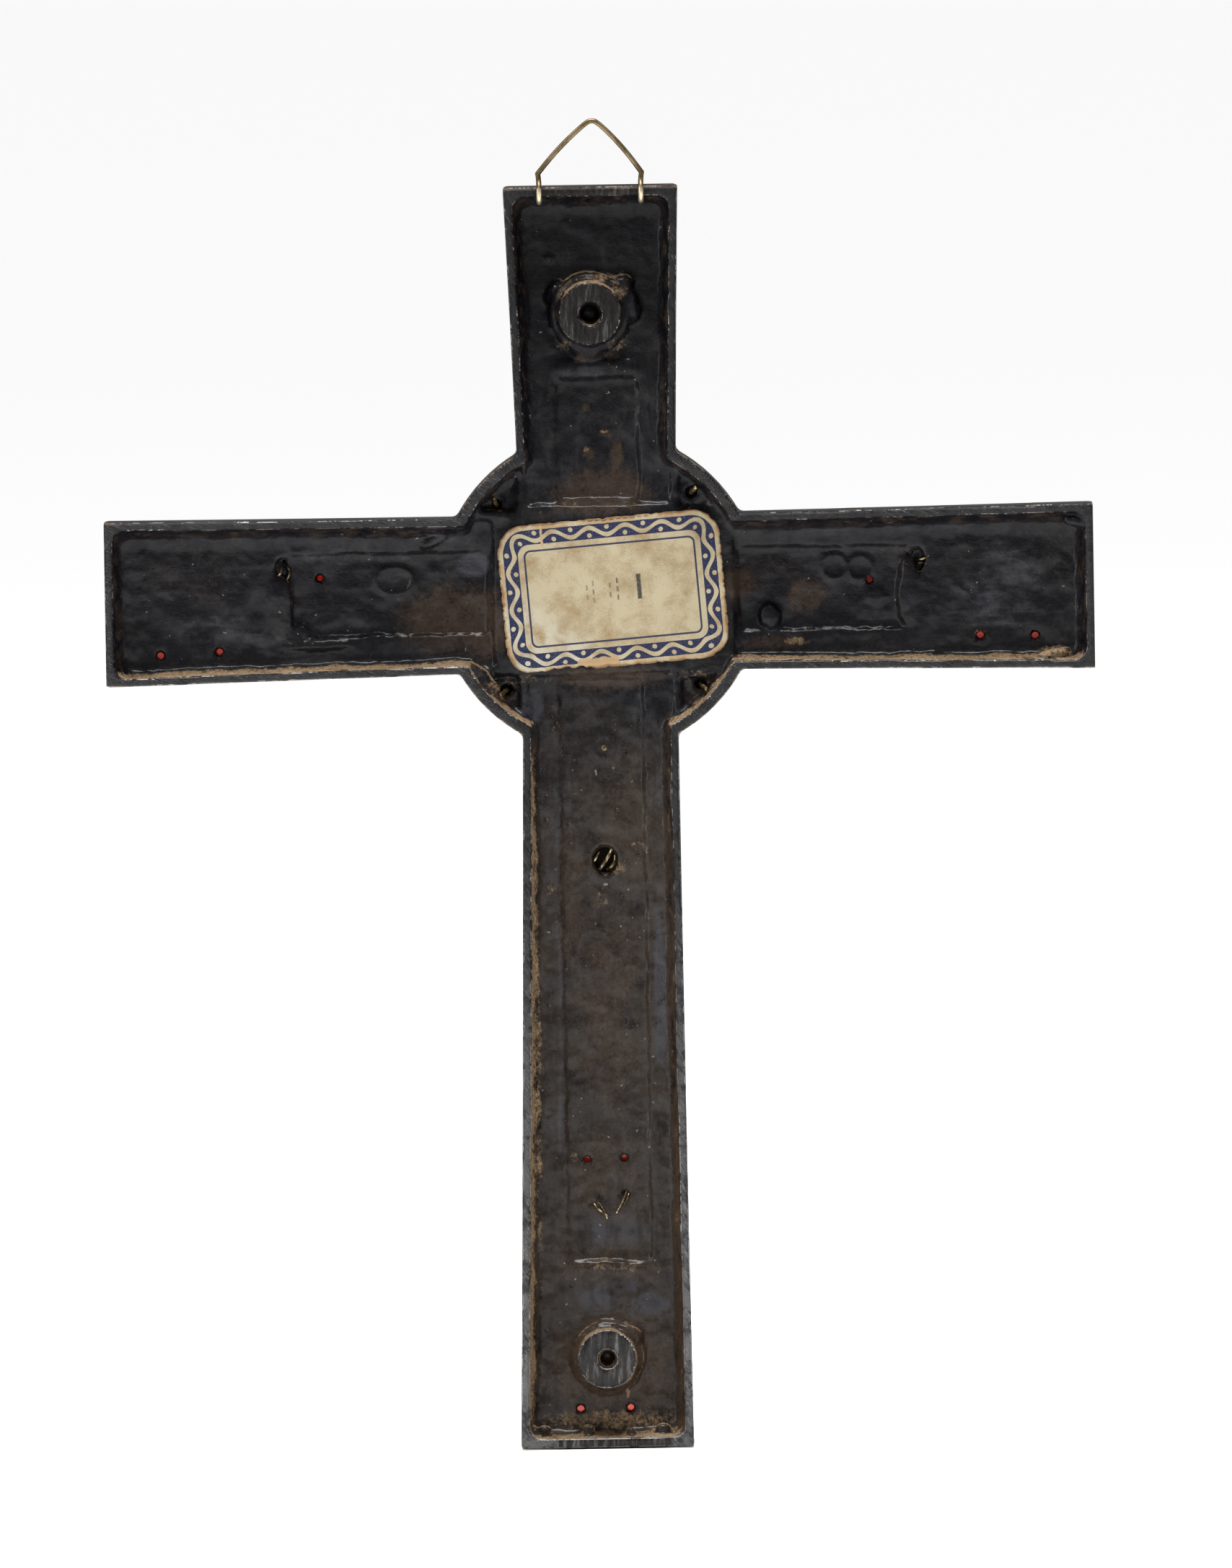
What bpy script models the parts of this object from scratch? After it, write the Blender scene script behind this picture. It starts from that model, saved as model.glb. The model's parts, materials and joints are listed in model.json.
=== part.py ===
"""A hollow-backed cast bronze wall cross with a robed figure and a wire hanging loop.

The origin is the point inside the loop where the nail goes. +Z is up, the figure faces -Y
and the open back faces +Y. All lengths are in metres.
"""

import math

import bmesh
import bpy
from mathutils import Matrix, Vector

# Clearance between pieces that touch
GAP = 0.0003

# Hanging loop: wire, eyes round the top wall, and the rise of the nail point
WIRE = 0.001
EYE_RADIUS = 0.002
WEB_HEIGHT = 0.0019
WEB_DEPTH = 0.0015
NAIL_RISE = 0.0118
FOOT_SPACING = 0.0193
FOOT_BEND_RISE = 0.0022
FOOT_LEAN = 0.0002
EYE_NECK = 0.0012
CROWN_HALF = 0.0016
LEG_BOW = 0.0005
SLOT_FRONT = 0.0039

# Cross outline, measured from the centre of the disc
DISC_RADIUS = 0.0306
UPPER_REACH = 0.0771
LOWER_REACH = 0.1624
ARM_REACH = 0.0937
ROOT_HALF = 0.0146
UPPER_TIP_HALF = 0.01655
LOWER_TIP_HALF = 0.01645
ARM_TIP_HALF = 0.01565
FLARE = 1.3
UPPER_DRIFT = 0.00055
LOWER_DRIFT = 0.0011
PLUS_ARM_DRIFT = -0.0008
MINUS_ARM_DRIFT = -0.0001

# Depths, measured from the filed back rim towards the front
PLATE_DEPTH = 0.009
HOLLOW_DEPTH = 0.006
SEAT_DEPTH = 0.0046
POCKET_DEPTH = 0.0064
PANEL_RECESS = 0.0012
PANEL_RAISE = 0.0012
BORDER_DEPTH = 0.0006

# Walls and borders
RIM = 0.0016
FOOT_RIM = 0.0019
DISC_RIM = 0.0021
DISC_SLOPE = 0.0015
RIDGE = 0.0012
RIDGE_SINK = 0.0003
BORDER = 0.0018
HOLLOW_CORNER = 0.002

# Inner panel, raised in front and sunk at the back
PANEL_HALF = 0.0082
PANEL_WALL = 0.001
PANEL_UNDER_TOP = 0.0365
PANEL_PAST_FEET = 0.007
PANEL_SHORT_OF_HANDS = 0.0008
LIP_RADIUS = 0.0018
LIP_RISE = 0.0009

# Raised rings on the disc
HALO_RADIUS = 0.0208
HALO_WIDTH = 0.0024
HALO_RAISE = 0.0009

# Filed bosses at the back, each with a blind hole
BOSS_RADIUS = 0.006
BOSS_OFFSET = -0.0009
UPPER_BOSS_FROM_END = 0.0242
UPPER_HOLE_RADIUS = 0.002
LOWER_BOSS_FROM_END = 0.0169
LOWER_BOSS_RADIUS = 0.0056
LOWER_HOLE_RADIUS = 0.00165
HOLE_DEPTH = 0.0055
COUNTERSINK = 0.0006

# Paper label on the crossing
LABEL_WIDTH = 0.0424
LABEL_HEIGHT = 0.0278
LABEL_THICKNESS = 0.00025
LABEL_CORNER = 0.0052
LABEL_TURN = math.radians(4.4)
LABEL_CENTRE = (0.0026, 0.0004)
SEAT_MARGIN = 0.0005

# Glass beads, in pairs at the four ends: sideways on the limb, and in from its end
BEAD_RADIUS = 0.0026
BEAD_RISE = 0.0016
BEAD_SEAT = 0.0009
BEAD_HOLE = 0.0008
BEAD_PAIRS = {
    "top": ((-0.0071, 0.0273), (0.0053, 0.0273)),
    "foot": ((-0.0061, 0.007), (0.0034, 0.0071)),
    "left": ((-0.0109, 0.0103), (-0.0103, 0.0215)),
    "right": ((-0.0095, 0.0216), (-0.0097, 0.0112)),
}

# Studs on the disc, with pins bent over at the back
STUD_PLACES = ((-0.0193, 0.0168), (0.0177, 0.0185), (-0.0179, -0.0184), (0.0189, -0.0178))
STUD_BENDS = (105, 50, 215, 320)
STUD_RADIUS = 0.0022
STUD_RISE = 0.0014
PIN = 0.0009
PIN_HOLE = 0.0008
PIN_BEND = 0.0016
PIN_LIFT = 0.0026

# Figure: sizes are shares of its height where nothing else is said
FIGURE_HEIGHT = 0.1385
FIGURE_TOP = 0.0178
HAND_OUT = 0.0603
HAND_UP = 0.0049

# Fixing wires; the feet's wires and holes are given sideways and up from the figure's lowest point
FIXING_WIRE = 0.0007
THICK_WIRE = 0.0011
HAND_SLOT = (0.0015, 0.0026)
CHEST_PIN = (0.0003, -0.0296)
CHEST_SLOT = (0.0012, 0.0022)
WAIST_WIRE = (0.0002, -0.0511)
WAIST_SLOT = (0.0021, 0.0025)
FOOT_WIRES = ((-0.0026, 0.0044), (0.0029, 0.0061))
FOOT_WIRE_ENDS = ((-0.0024, -0.0019), (0.0023, -0.0026))
FOOT_HOLE = 0.0007
WIRE_LEAN = 0.0011
WIRE_SPREAD = 0.0007
WAIST_REACH = 0.0013
ROBE_HOLE = 0.0008
CUFF_HOLES = ((-0.0073, -0.0016), (-0.009, -0.0036))
HEM_HOLES = ((-0.0041, 0.0127), (0.003, 0.0129))

BACK = EYE_RADIUS + WEB_DEPTH / 2
TOP = -NAIL_RISE
DISC_Z = TOP - UPPER_REACH
EYE_Z = TOP - WEB_HEIGHT / 2
PANEL_FRONT = PLATE_DEPTH + PANEL_RAISE
PANEL_UP = UPPER_REACH - PANEL_UNDER_TOP
FIGURE_FOOT = FIGURE_TOP - FIGURE_HEIGHT
PANEL_DOWN = PANEL_PAST_FEET - FIGURE_FOOT
PANEL_SIDE = HAND_OUT - PANEL_SHORT_OF_HANDS
UPPER_BOSS = (BOSS_OFFSET, UPPER_REACH - UPPER_BOSS_FROM_END)
LOWER_BOSS = (BOSS_OFFSET, LOWER_BOSS_FROM_END - LOWER_REACH)
SIDE_STEPS = 4
ARC_STEPS = 8
PAST = 0.001


def clear_scene():
    for item in list(bpy.data.objects):
        bpy.data.objects.remove(item)


def collection(name):
    group = bpy.data.collections.new(name)
    bpy.context.scene.collection.children.link(group)
    return group


def material(name, colour, roughness, metallic):
    made = bpy.data.materials.new(name)
    made.use_nodes = True
    shader = made.node_tree.nodes["Principled BSDF"]
    shader.inputs["Base Color"].default_value = (*colour, 1.0)
    shader.inputs["Roughness"].default_value = roughness
    shader.inputs["Metallic"].default_value = metallic
    return made


def depth(distance):
    """World Y of a plane this far in front of the filed back rim."""
    return BACK - distance


def place(across, up):
    """World X and Z of a point given from the disc centre as seen from behind."""
    return -across, DISC_Z + up


def bead_place(end, sideways, inward):
    """Across and up from the disc centre of a bead that is this far in from the end of its limb."""
    if end == "top":
        return sideways, UPPER_REACH - inward
    if end == "foot":
        return sideways, inward - LOWER_REACH
    return (ARM_REACH - inward) * (1 if end == "right" else -1), sideways


def above_foot(sideways, rise):
    """Across and up from the disc centre of a point this far above the figure's lowest point."""
    return sideways, FIGURE_FOOT + rise


def add(name, mesh, group, finish=None):
    item = bpy.data.objects.new(name, mesh)
    group.objects.link(item)
    if finish:
        mesh.materials.append(finish)
    else:
        item.hide_render = True
        item.display_type = "WIRE"
    return item


def loft(name, sections, group, finish=None):
    """A closed solid through sections, each a world Y and an outline of as many (x, z) points."""
    work = bmesh.new()
    rings = [[work.verts.new((x, y, z)) for x, z in outline] for y, outline in sections]
    for near, far in zip(rings, rings[1:]):
        for i in range(len(near)):
            j = (i + 1) % len(near)
            work.faces.new((near[i], near[j], far[j], far[i]))
    work.faces.new(rings[0])
    work.faces.new(reversed(rings[-1]))
    bmesh.ops.recalc_face_normals(work, faces=work.faces)
    mesh = bpy.data.meshes.new(name)
    work.to_mesh(mesh)
    work.free()
    return add(name, mesh, group, finish)


def to_mesh(curve_item, group, finish=None):
    """The welded mesh of a curve object, which it replaces."""
    bpy.context.view_layer.update()
    evaluated = curve_item.evaluated_get(bpy.context.evaluated_depsgraph_get())
    mesh = bpy.data.meshes.new_from_object(evaluated)
    mesh.transform(curve_item.matrix_world)
    mesh.materials.clear()
    name = curve_item.name
    curve = curve_item.data
    bpy.data.objects.remove(curve_item)
    bpy.data.curves.remove(curve)
    work = bmesh.new()
    work.from_mesh(mesh)
    bmesh.ops.remove_doubles(work, verts=work.verts, dist=0.00001)
    bmesh.ops.recalc_face_normals(work, faces=work.faces)
    work.to_mesh(mesh)
    work.free()
    mesh.name = name
    return add(name, mesh, group, finish)


def slab(name, outline, near, far, group, finish=None):
    """A flat outline of (x, z) points with thickness between two world Y planes."""
    curve = bpy.data.curves.new(name, "CURVE")
    curve.dimensions = "2D"
    curve.fill_mode = "BOTH"
    curve.extrude = abs(far - near) / 2
    spline = curve.splines.new("POLY")
    spline.points.add(len(outline) - 1)
    for point, (x, z) in zip(spline.points, outline):
        point.co = (x, z, 0.0, 1.0)
    spline.use_cyclic_u = True
    item = bpy.data.objects.new(name, curve)
    item.location = (0.0, (near + far) / 2, 0.0)
    item.rotation_euler = (math.pi / 2, 0.0, 0.0)
    group.objects.link(item)
    return to_mesh(item, group, finish)


def wire(name, points, diameter, group, finish=None):
    """A round wire along points, with filled ends."""
    curve = bpy.data.curves.new(name, "CURVE")
    curve.dimensions = "3D"
    curve.bevel_depth = diameter / 2
    curve.bevel_resolution = 2
    curve.use_fill_caps = True
    spline = curve.splines.new("POLY")
    spline.points.add(len(points) - 1)
    for point, where in zip(spline.points, points):
        point.co = (*where, 1.0)
    item = bpy.data.objects.new(name, curve)
    group.objects.link(item)
    return to_mesh(item, group, finish)


def circle(x, z, radius, sides, stretch=1.0):
    """Outline of a round or, with stretch, an oval upright opening."""
    turns = [math.tau * i / sides for i in range(sides)]
    return [(x + radius * math.cos(t), z + stretch * radius * math.sin(t)) for t in turns]


def spindle(name, x, z, steps, sides, group, finish=None, stretch=1.0):
    """A turned solid along Y; steps are pairs of world Y and radius."""
    sections = [(y, circle(x, z, radius, sides, stretch)) for y, radius in steps]
    return loft(name, sections, group, finish)


def boolean(target, tool, operation="DIFFERENCE"):
    step = target.modifiers.new(tool.name, "BOOLEAN")
    step.operation = operation
    step.solver = "EXACT"
    step.object = tool


class Limb:
    """One limb of the cross, running out from the disc centre and widening towards its end."""

    def __init__(self, name, along, across, reach, tip_half, drift, slopes, rims, panel_reach):
        self.name = name
        self.along = Vector(along)
        self.across = Vector(across)
        self.reach = reach
        self.tip_half = tip_half
        self.drift = drift
        self.slopes = slopes
        self.rims = rims
        self.panel_reach = panel_reach

    def point(self, sideways, out):
        where = self.along * out + self.across * sideways
        return where.x, where.y + DISC_Z

    def edge(self, out, side, inset):
        """Sideways place of the edge on one side, side being -1 or 1."""
        share = max(out, 0.0) / self.reach
        half = ROOT_HALF + (self.tip_half - ROOT_HALF) * share**FLARE
        return side * (half - inset) + self.drift * share

    def leaves_disc(self, side, inset, radius):
        """How far out one edge leaves a circle round the disc centre."""
        out = radius
        for _ in range(6):
            out = math.sqrt(radius**2 - self.edge(out, side, inset)**2)
        return out

    def outline(self, radius, insets, corner=0.0):
        """Open outline from the disc round the tip and back: low side, rounded tip, high side."""
        low, high, tip = insets
        straight = self.reach - tip - corner
        first = self.leaves_disc(-1, low, radius)
        last = self.leaves_disc(1, high, radius)
        shares = [i / SIDE_STEPS for i in range(SIDE_STEPS + 1)]
        outs = [first + (straight - first) * share for share in shares]
        points = [self.point(self.edge(out, -1, low), out) for out in outs]
        if corner:
            turns = [math.radians(30 * i) for i in (1, 2, 3)]
            low_centre = self.edge(straight, -1, low) + corner
            high_centre = self.edge(straight, 1, high) - corner
            for turn in turns:
                reach = straight + corner * math.sin(turn)
                points.append(self.point(low_centre - corner * math.cos(turn), reach))
            for turn in reversed(turns):
                reach = straight + corner * math.sin(turn)
                points.append(self.point(high_centre + corner * math.cos(turn), reach))
        outs = [last + (straight - last) * share for share in reversed(shares)]
        return points + [self.point(self.edge(out, 1, high), out) for out in outs]

    def panel_recess(self, start, group):
        """The sunk inner panel at the back of this limb."""

        def section(distance, inset):
            half = PANEL_HALF - inset
            corners = ((-half, start), (-half, self.panel_reach - inset))
            corners += ((half, self.panel_reach - inset), (half, start))
            return depth(distance), [self.point(*corner) for corner in corners]

        floor = HOLLOW_DEPTH + PANEL_RECESS
        sections = [section(HOLLOW_DEPTH - PAST, 0.0), section(HOLLOW_DEPTH, 0.0)]
        sections.append(section(floor, PANEL_RECESS / 2))
        return loft(self.name + "_panel_recess", sections, group)


def cross_outline(limbs, radius, insets_of, corner=0.0):
    """The whole cross as one closed outline: four limbs joined by arcs of the disc."""
    points = []
    upper, lower, plus, minus = limbs
    for limb, backwards in ((plus, False), (upper, True), (minus, True), (lower, False)):
        run = limb.outline(radius, insets_of(limb), corner)
        if backwards:
            run.reverse()
        if points:
            points += disc_arc(points[-1], run[0], radius)
        points += run
    return points + disc_arc(points[-1], points[0], radius)


def disc_arc(start, end, radius):
    """Points between two points of a circle round the disc centre, counter-clockwise."""
    first = math.atan2(start[1] - DISC_Z, start[0])
    last = math.atan2(end[1] - DISC_Z, end[0])
    turn = (last - first) % math.tau
    angles = [first + turn * i / ARC_STEPS for i in range(1, ARC_STEPS)]
    return [(radius * math.cos(t), DISC_Z + radius * math.sin(t)) for t in angles]


def hollow(limbs, cutters):
    """The open back: its walls curve in towards a flat floor."""
    sections = []
    for share in (-PAST / HOLLOW_DEPTH, 0.0, 0.5, 0.85, 1.0):
        cove = 1.0 - math.sqrt(1.0 - max(share, 0.0) ** 2)

        def insets_of(limb, cove=cove):
            return [rim + slope * cove for rim, slope in zip(limb.rims, limb.slopes)]

        radius = DISC_RADIUS - DISC_RIM - DISC_SLOPE * cove
        outline = cross_outline(limbs, radius, insets_of, HOLLOW_CORNER)
        sections.append((depth(share * HOLLOW_DEPTH), outline))
    return loft("hollow", sections, cutters)


def label_half_extents():
    """Half width and half height of the turned label's bounding box."""
    cosine = math.cos(LABEL_TURN)
    sine = math.sin(LABEL_TURN)
    wide = (LABEL_WIDTH * cosine + LABEL_HEIGHT * sine) / 2
    high = (LABEL_HEIGHT * cosine + LABEL_WIDTH * sine) / 2
    return wide, high


def make_limbs():
    upper = Limb("upper", (0, 1), (1, 0), UPPER_REACH, UPPER_TIP_HALF, UPPER_DRIFT,
                 (0.0022, 0.0026, 0.0036), (RIM, RIM, WEB_HEIGHT), PANEL_UP)
    lower = Limb("lower", (0, -1), (1, 0), LOWER_REACH, LOWER_TIP_HALF, LOWER_DRIFT,
                 (0.002, 0.0026, 0.002), (RIM, RIM, FOOT_RIM), PANEL_DOWN)
    plus = Limb("plus_arm", (1, 0), (0, 1), ARM_REACH, ARM_TIP_HALF, PLUS_ARM_DRIFT,
                (0.0013, 0.0036, 0.0024), (RIM, RIM, RIM), PANEL_SIDE)
    minus = Limb("minus_arm", (-1, 0), (0, 1), ARM_REACH, ARM_TIP_HALF, MINUS_ARM_DRIFT,
                 (0.0013, 0.0036, 0.0024), (RIM, RIM, RIM), PANEL_SIDE)
    return upper, lower, plus, minus


def hollow_starts():
    """How far from the disc centre each limb's hollow begins, just clear of the label's seat."""
    wide, high = label_half_extents()
    across, up = LABEL_CENTRE
    return (high + up + SEAT_MARGIN, high - up + SEAT_MARGIN,
            wide - across + SEAT_MARGIN, wide + across + SEAT_MARGIN)


def pocket(index, cutters):
    """A three-sided pocket between two limbs, inside the disc."""
    wall = DISC_RADIUS - DISC_RIM - DISC_SLOPE
    corner = ROOT_HALF + RIDGE / 2
    turn = math.pi / 2 * index

    def section(distance, inset):
        near = corner + inset
        radius = wall - inset
        first = math.asin(near / radius)
        last = math.pi / 2 - first
        points = [Vector((near, near))]
        for i in range(5):
            angle = first + (last - first) * i / 4
            points.append(Vector((radius * math.cos(angle), radius * math.sin(angle))))
        turned = [point @ Matrix.Rotation(turn, 2) for point in points]
        return depth(distance), [(point.x, point.y + DISC_Z) for point in turned]

    sections = (section(SEAT_DEPTH - PAST, 0.0), section(SEAT_DEPTH, 0.0),
                section(POCKET_DEPTH, 0.0009))
    return loft("pocket_%d" % (index + 1), sections, cutters)


def boss(name, where, radius, hole_radius, cross, cutters):
    x, z = place(*where)
    root = HOLLOW_DEPTH + PANEL_RECESS / 2
    post = spindle(name, x, z, ((depth(root), radius * 1.08), (BACK, radius)), 24, cutters)
    boolean(cross, post, "UNION")
    sink = COUNTERSINK
    steps = ((BACK + PAST, hole_radius + sink), (BACK, hole_radius + sink),
             (depth(sink), hole_radius), (depth(HOLE_DEPTH), hole_radius))
    boolean(cross, spindle(name + "_hole", x, z, steps, 14, cutters))


def panel_outline():
    half = PANEL_HALF + PANEL_WALL
    up = PANEL_UP + PANEL_WALL
    down = PANEL_DOWN + PANEL_WALL
    side = PANEL_SIDE + PANEL_WALL
    corners = ((half, up), (half, half), (side, half), (side, -half), (half, -half), (half, -down),
               (-half, -down), (-half, -half), (-side, -half), (-side, half), (-half, half), (-half, up))
    return [(x, z + DISC_Z) for x, z in corners]


def front_relief(cross, limbs, cutters):
    """Sunk field inside a plain border, raised inner panel and raised ring on the disc."""
    front = depth(PLATE_DEPTH)
    field = front + BORDER_DEPTH
    outline = cross_outline(limbs, DISC_RADIUS - BORDER, lambda limb: (BORDER, BORDER, BORDER))
    boolean(cross, loft("field", ((front - PAST, outline), (field, outline)), cutters))
    bpy.ops.mesh.primitive_torus_add(major_radius=HALO_RADIUS, minor_radius=HALO_WIDTH / 2,
                                     major_segments=40, minor_segments=6)
    halo = bpy.context.object
    halo.name = halo.data.name = "halo"
    halo.data.transform(Matrix.Diagonal((1.0, 1.0, 2 * HALO_RAISE / HALO_WIDTH, 1.0)))
    halo.data.transform(Matrix.Rotation(math.pi / 2, 4, "X"))
    halo.data.transform(Matrix.Translation((0.0, field, DISC_Z)))
    keep_as_cutter(halo, cutters)
    boolean(cross, halo, "UNION")
    panel = loft("panel", ((field + PAST, panel_outline()), (depth(PANEL_FRONT), panel_outline())),
                 cutters)
    boolean(cross, panel, "UNION")


def keep_as_cutter(item, cutters):
    for group in item.users_collection:
        group.objects.unlink(item)
    cutters.objects.link(item)
    item.hide_render = True
    item.display_type = "WIRE"


def crossing(cross, cutters):
    """The label's seat and the low ridges between the limbs' hollows and the pockets."""
    wide, high = label_half_extents()
    x, z = place(*LABEL_CENTRE)
    root = depth(HOLLOW_DEPTH + PAST)
    reach = math.sqrt((DISC_RADIUS - DISC_RIM) ** 2 - ROOT_HALF**2)
    ridge = depth(SEAT_DEPTH + RIDGE_SINK)
    for side in (-1, 1):
        middle = side * ROOT_HALF
        level = box("ridge_across_%d" % (side + 2), (-reach, root, DISC_Z + middle - RIDGE / 2),
                    (reach, ridge, DISC_Z + middle + RIDGE / 2), cutters)
        upright = box("ridge_up_%d" % (side + 2), (middle - RIDGE / 2, root, DISC_Z - reach),
                      (middle + RIDGE / 2, ridge, DISC_Z + reach), cutters)
        boolean(cross, level, "UNION")
        boolean(cross, upright, "UNION")
    seat = box("seat", (x - wide - SEAT_MARGIN, root, z - high - SEAT_MARGIN),
               (x + wide + SEAT_MARGIN, depth(SEAT_DEPTH), z + high + SEAT_MARGIN), cutters)
    boolean(cross, seat, "UNION")


def through_hole(name, where, radius, cross, cutters, stretch=1.0, sides=8):
    x, z = place(*where)
    steps = ((depth(SEAT_DEPTH - 2 * PAST), radius), (depth(PANEL_FRONT + PAST), radius))
    boolean(cross, spindle(name, x, z, steps, sides, cutters, stretch=stretch))


def bead_seat(name, where, cross, cutters):
    """Cup for a bead in the front and a narrow hole from it to the back."""
    x, z = place(*where)
    front = PLATE_DEPTH - BORDER_DEPTH
    cup = BEAD_RADIUS + GAP
    steps = ((depth(SEAT_DEPTH - 2 * PAST), BEAD_HOLE), (depth(front - BEAD_SEAT), BEAD_HOLE),
             (depth(front - BEAD_SEAT), cup), (depth(PANEL_FRONT + PAST), cup))
    boolean(cross, spindle(name + "_seat", x, z, steps, 12, cutters))


def bead(name, where, parts, finish):
    """A low glass dome on a short round foot that sits in its cup."""
    x, z = place(*where)
    front = PLATE_DEPTH - BORDER_DEPTH
    steps = [(depth(front - BEAD_SEAT + GAP), BEAD_RADIUS)]
    for share in (0.0, 0.5, 0.8, 0.97):
        steps.append((depth(front + BEAD_RISE * share), BEAD_RADIUS * math.sqrt(1.0 - share**2)))
    item = spindle(name, x, z, steps, 12, parts, finish)
    item.data.shade_smooth()
    item.data.set_sharp_from_angle(angle=math.radians(50))
    return item


def stud(index, parts, cutters, finish):
    """A domed stud whose pin passes the disc and is bent over in the pocket behind."""
    x, z = place(*STUD_PLACES[index])
    front = PLATE_DEPTH - BORDER_DEPTH
    steps = [(depth(front + GAP), STUD_RADIUS)]
    for share in (0.4, 0.75, 0.96):
        steps.append((depth(front + GAP + STUD_RISE * share), STUD_RADIUS * math.sqrt(1.0 - share**2)))
    dome = spindle("disc_stud_%d" % (index + 1), x, z, steps, 12, parts, finish)
    turn = math.radians(STUD_BENDS[index])
    bend = POCKET_DEPTH - PIN
    end = (x - PIN_BEND * math.cos(turn), depth(bend - PIN_LIFT), z + PIN_BEND * math.sin(turn))
    points = ((x, depth(front + STUD_RISE / 2), z), (x, depth(POCKET_DEPTH), z), (x, depth(bend), z), end)
    pin = wire("stud_pin_%d" % (index + 1), points, PIN, cutters)
    boolean(dome, pin, "UNION")
    return dome


def eye_point(angle, x):
    """Centre line of a wire eye; angle 0 is the back, 90 degrees the top."""
    turn = math.radians(angle)
    return x, EYE_RADIUS * (1 + math.cos(turn)), EYE_Z + EYE_RADIUS * math.sin(turn)


def foot_x(side):
    return side * FOOT_SPACING / 2 + UPPER_DRIFT


def hanger(parts, finish):
    """One bent wire: an eye round the top wall at each foot, and two slightly bowed legs."""
    bend_z = TOP + FOOT_BEND_RISE

    def half(side):
        x = foot_x(side)
        points = [eye_point(angle, x) for angle in range(72, -181, -18)]
        points.append((x, 0.0, EYE_Z + EYE_NECK))
        top = Vector((side * CROWN_HALF, 0.0, WIRE / 2 - CROWN_HALF / 2))
        foot = Vector((x + side * FOOT_LEAN, 0.0, bend_z))
        points.append(tuple(foot))
        for share in (0.25, 0.5, 0.75, 1.0):
            bow = LEG_BOW * math.sin(math.pi * share)
            where = foot.lerp(top, share) + Vector((side * bow, 0.0, bow * 0.6))
            points.append(tuple(where))
        points.append((side * CROWN_HALF / 2, 0.0, WIRE / 2 - CROWN_HALF / 8))
        return points

    right = half(1)
    left = half(-1)
    return wire("hanger", left + [(0.0, 0.0, WIRE / 2)] + right[::-1], WIRE, parts, finish)


def hanger_slot(side, cross, cutters):
    """Slot in the top wall for one eye; it leaves the web that the eye goes round."""
    x = foot_x(side)
    half = WIRE / 2 + GAP
    radius = EYE_RADIUS + WIRE / 2 + GAP
    bpy.ops.mesh.primitive_cylinder_add(vertices=32, radius=radius, depth=2 * half,
                                        location=(x, EYE_RADIUS, EYE_Z),
                                        rotation=(0.0, math.pi / 2, 0.0))
    slot = bpy.context.object
    slot.name = slot.data.name = "eye_slot_%s" % ("plus" if side > 0 else "minus")
    keep_as_cutter(slot, cutters)
    mouth = box("mouth_%s" % slot.name, (x - half, depth(SLOT_FRONT), EYE_Z),
                (x + half, 0.0, TOP + PAST), cutters)
    web = box("web_%s" % slot.name, (x - 2 * half, depth(WEB_DEPTH), TOP - WEB_HEIGHT),
              (x + 2 * half, BACK + PAST, TOP + 2 * PAST), cutters)
    boolean(slot, mouth, "UNION")
    boolean(slot, web)
    boolean(cross, slot)


def box(name, low, high, group, finish=None):
    outline = ((low[0], low[2]), (high[0], low[2]), (high[0], high[2]), (low[0], high[2]))
    return loft(name, ((low[1], outline), (high[1], outline)), group, finish)


def make_cross(limbs, parts, cutters, finish):
    plate = cross_outline(limbs, DISC_RADIUS, lambda limb: (0.0, 0.0, 0.0))
    cross = slab("cross", plate, depth(PLATE_DEPTH), BACK, parts, finish)
    front_relief(cross, limbs, cutters)
    boolean(cross, hollow(limbs, cutters))
    crossing(cross, cutters)
    for limb, start in zip(limbs, hollow_starts()):
        boolean(cross, limb.panel_recess(start + PAST, cutters))
    for index in range(4):
        boolean(cross, pocket(index, cutters))
    lip = lip_ridge(cutters)
    boolean(cross, lip, "UNION")
    boss("upper_boss", UPPER_BOSS, BOSS_RADIUS, UPPER_HOLE_RADIUS, cross, cutters)
    boss("lower_boss", LOWER_BOSS, LOWER_BOSS_RADIUS, LOWER_HOLE_RADIUS, cross, cutters)
    for end, pair in BEAD_PAIRS.items():
        for number, where in enumerate(pair, 1):
            bead_seat("bead_%s_%d" % (end, number), bead_place(end, *where), cross, cutters)
    for index, where in enumerate(STUD_PLACES, 1):
        through_hole("stud_hole_%d" % index, where, PIN_HOLE, cross, cutters)
    for index, where in enumerate(HEM_HOLES, 1):
        through_hole("hem_hole_%d" % index, above_foot(*where), ROBE_HOLE, cross, cutters)
    for side, (outward, rise) in zip((-1, 1), CUFF_HOLES):
        through_hole("cuff_hole_%d" % (side + 2), (side * (HAND_OUT + outward), HAND_UP + rise), ROBE_HOLE,
                     cross, cutters)
        width, height = HAND_SLOT
        through_hole("hand_slot_%d" % (side + 2), (side * HAND_OUT, HAND_UP), width, cross, cutters,
                     height / width, 14)
        hanger_slot(side, cross, cutters)
    through_hole("chest_slot", CHEST_PIN, CHEST_SLOT[0], cross, cutters, CHEST_SLOT[1] / CHEST_SLOT[0], 14)
    through_hole("waist_slot", WAIST_WIRE, WAIST_SLOT[0], cross, cutters, WAIST_SLOT[1] / WAIST_SLOT[0], 14)
    for index, where in enumerate(FOOT_WIRES, 1):
        through_hole("foot_hole_%d" % index, above_foot(*where), FOOT_HOLE, cross, cutters)
    return cross


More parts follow.
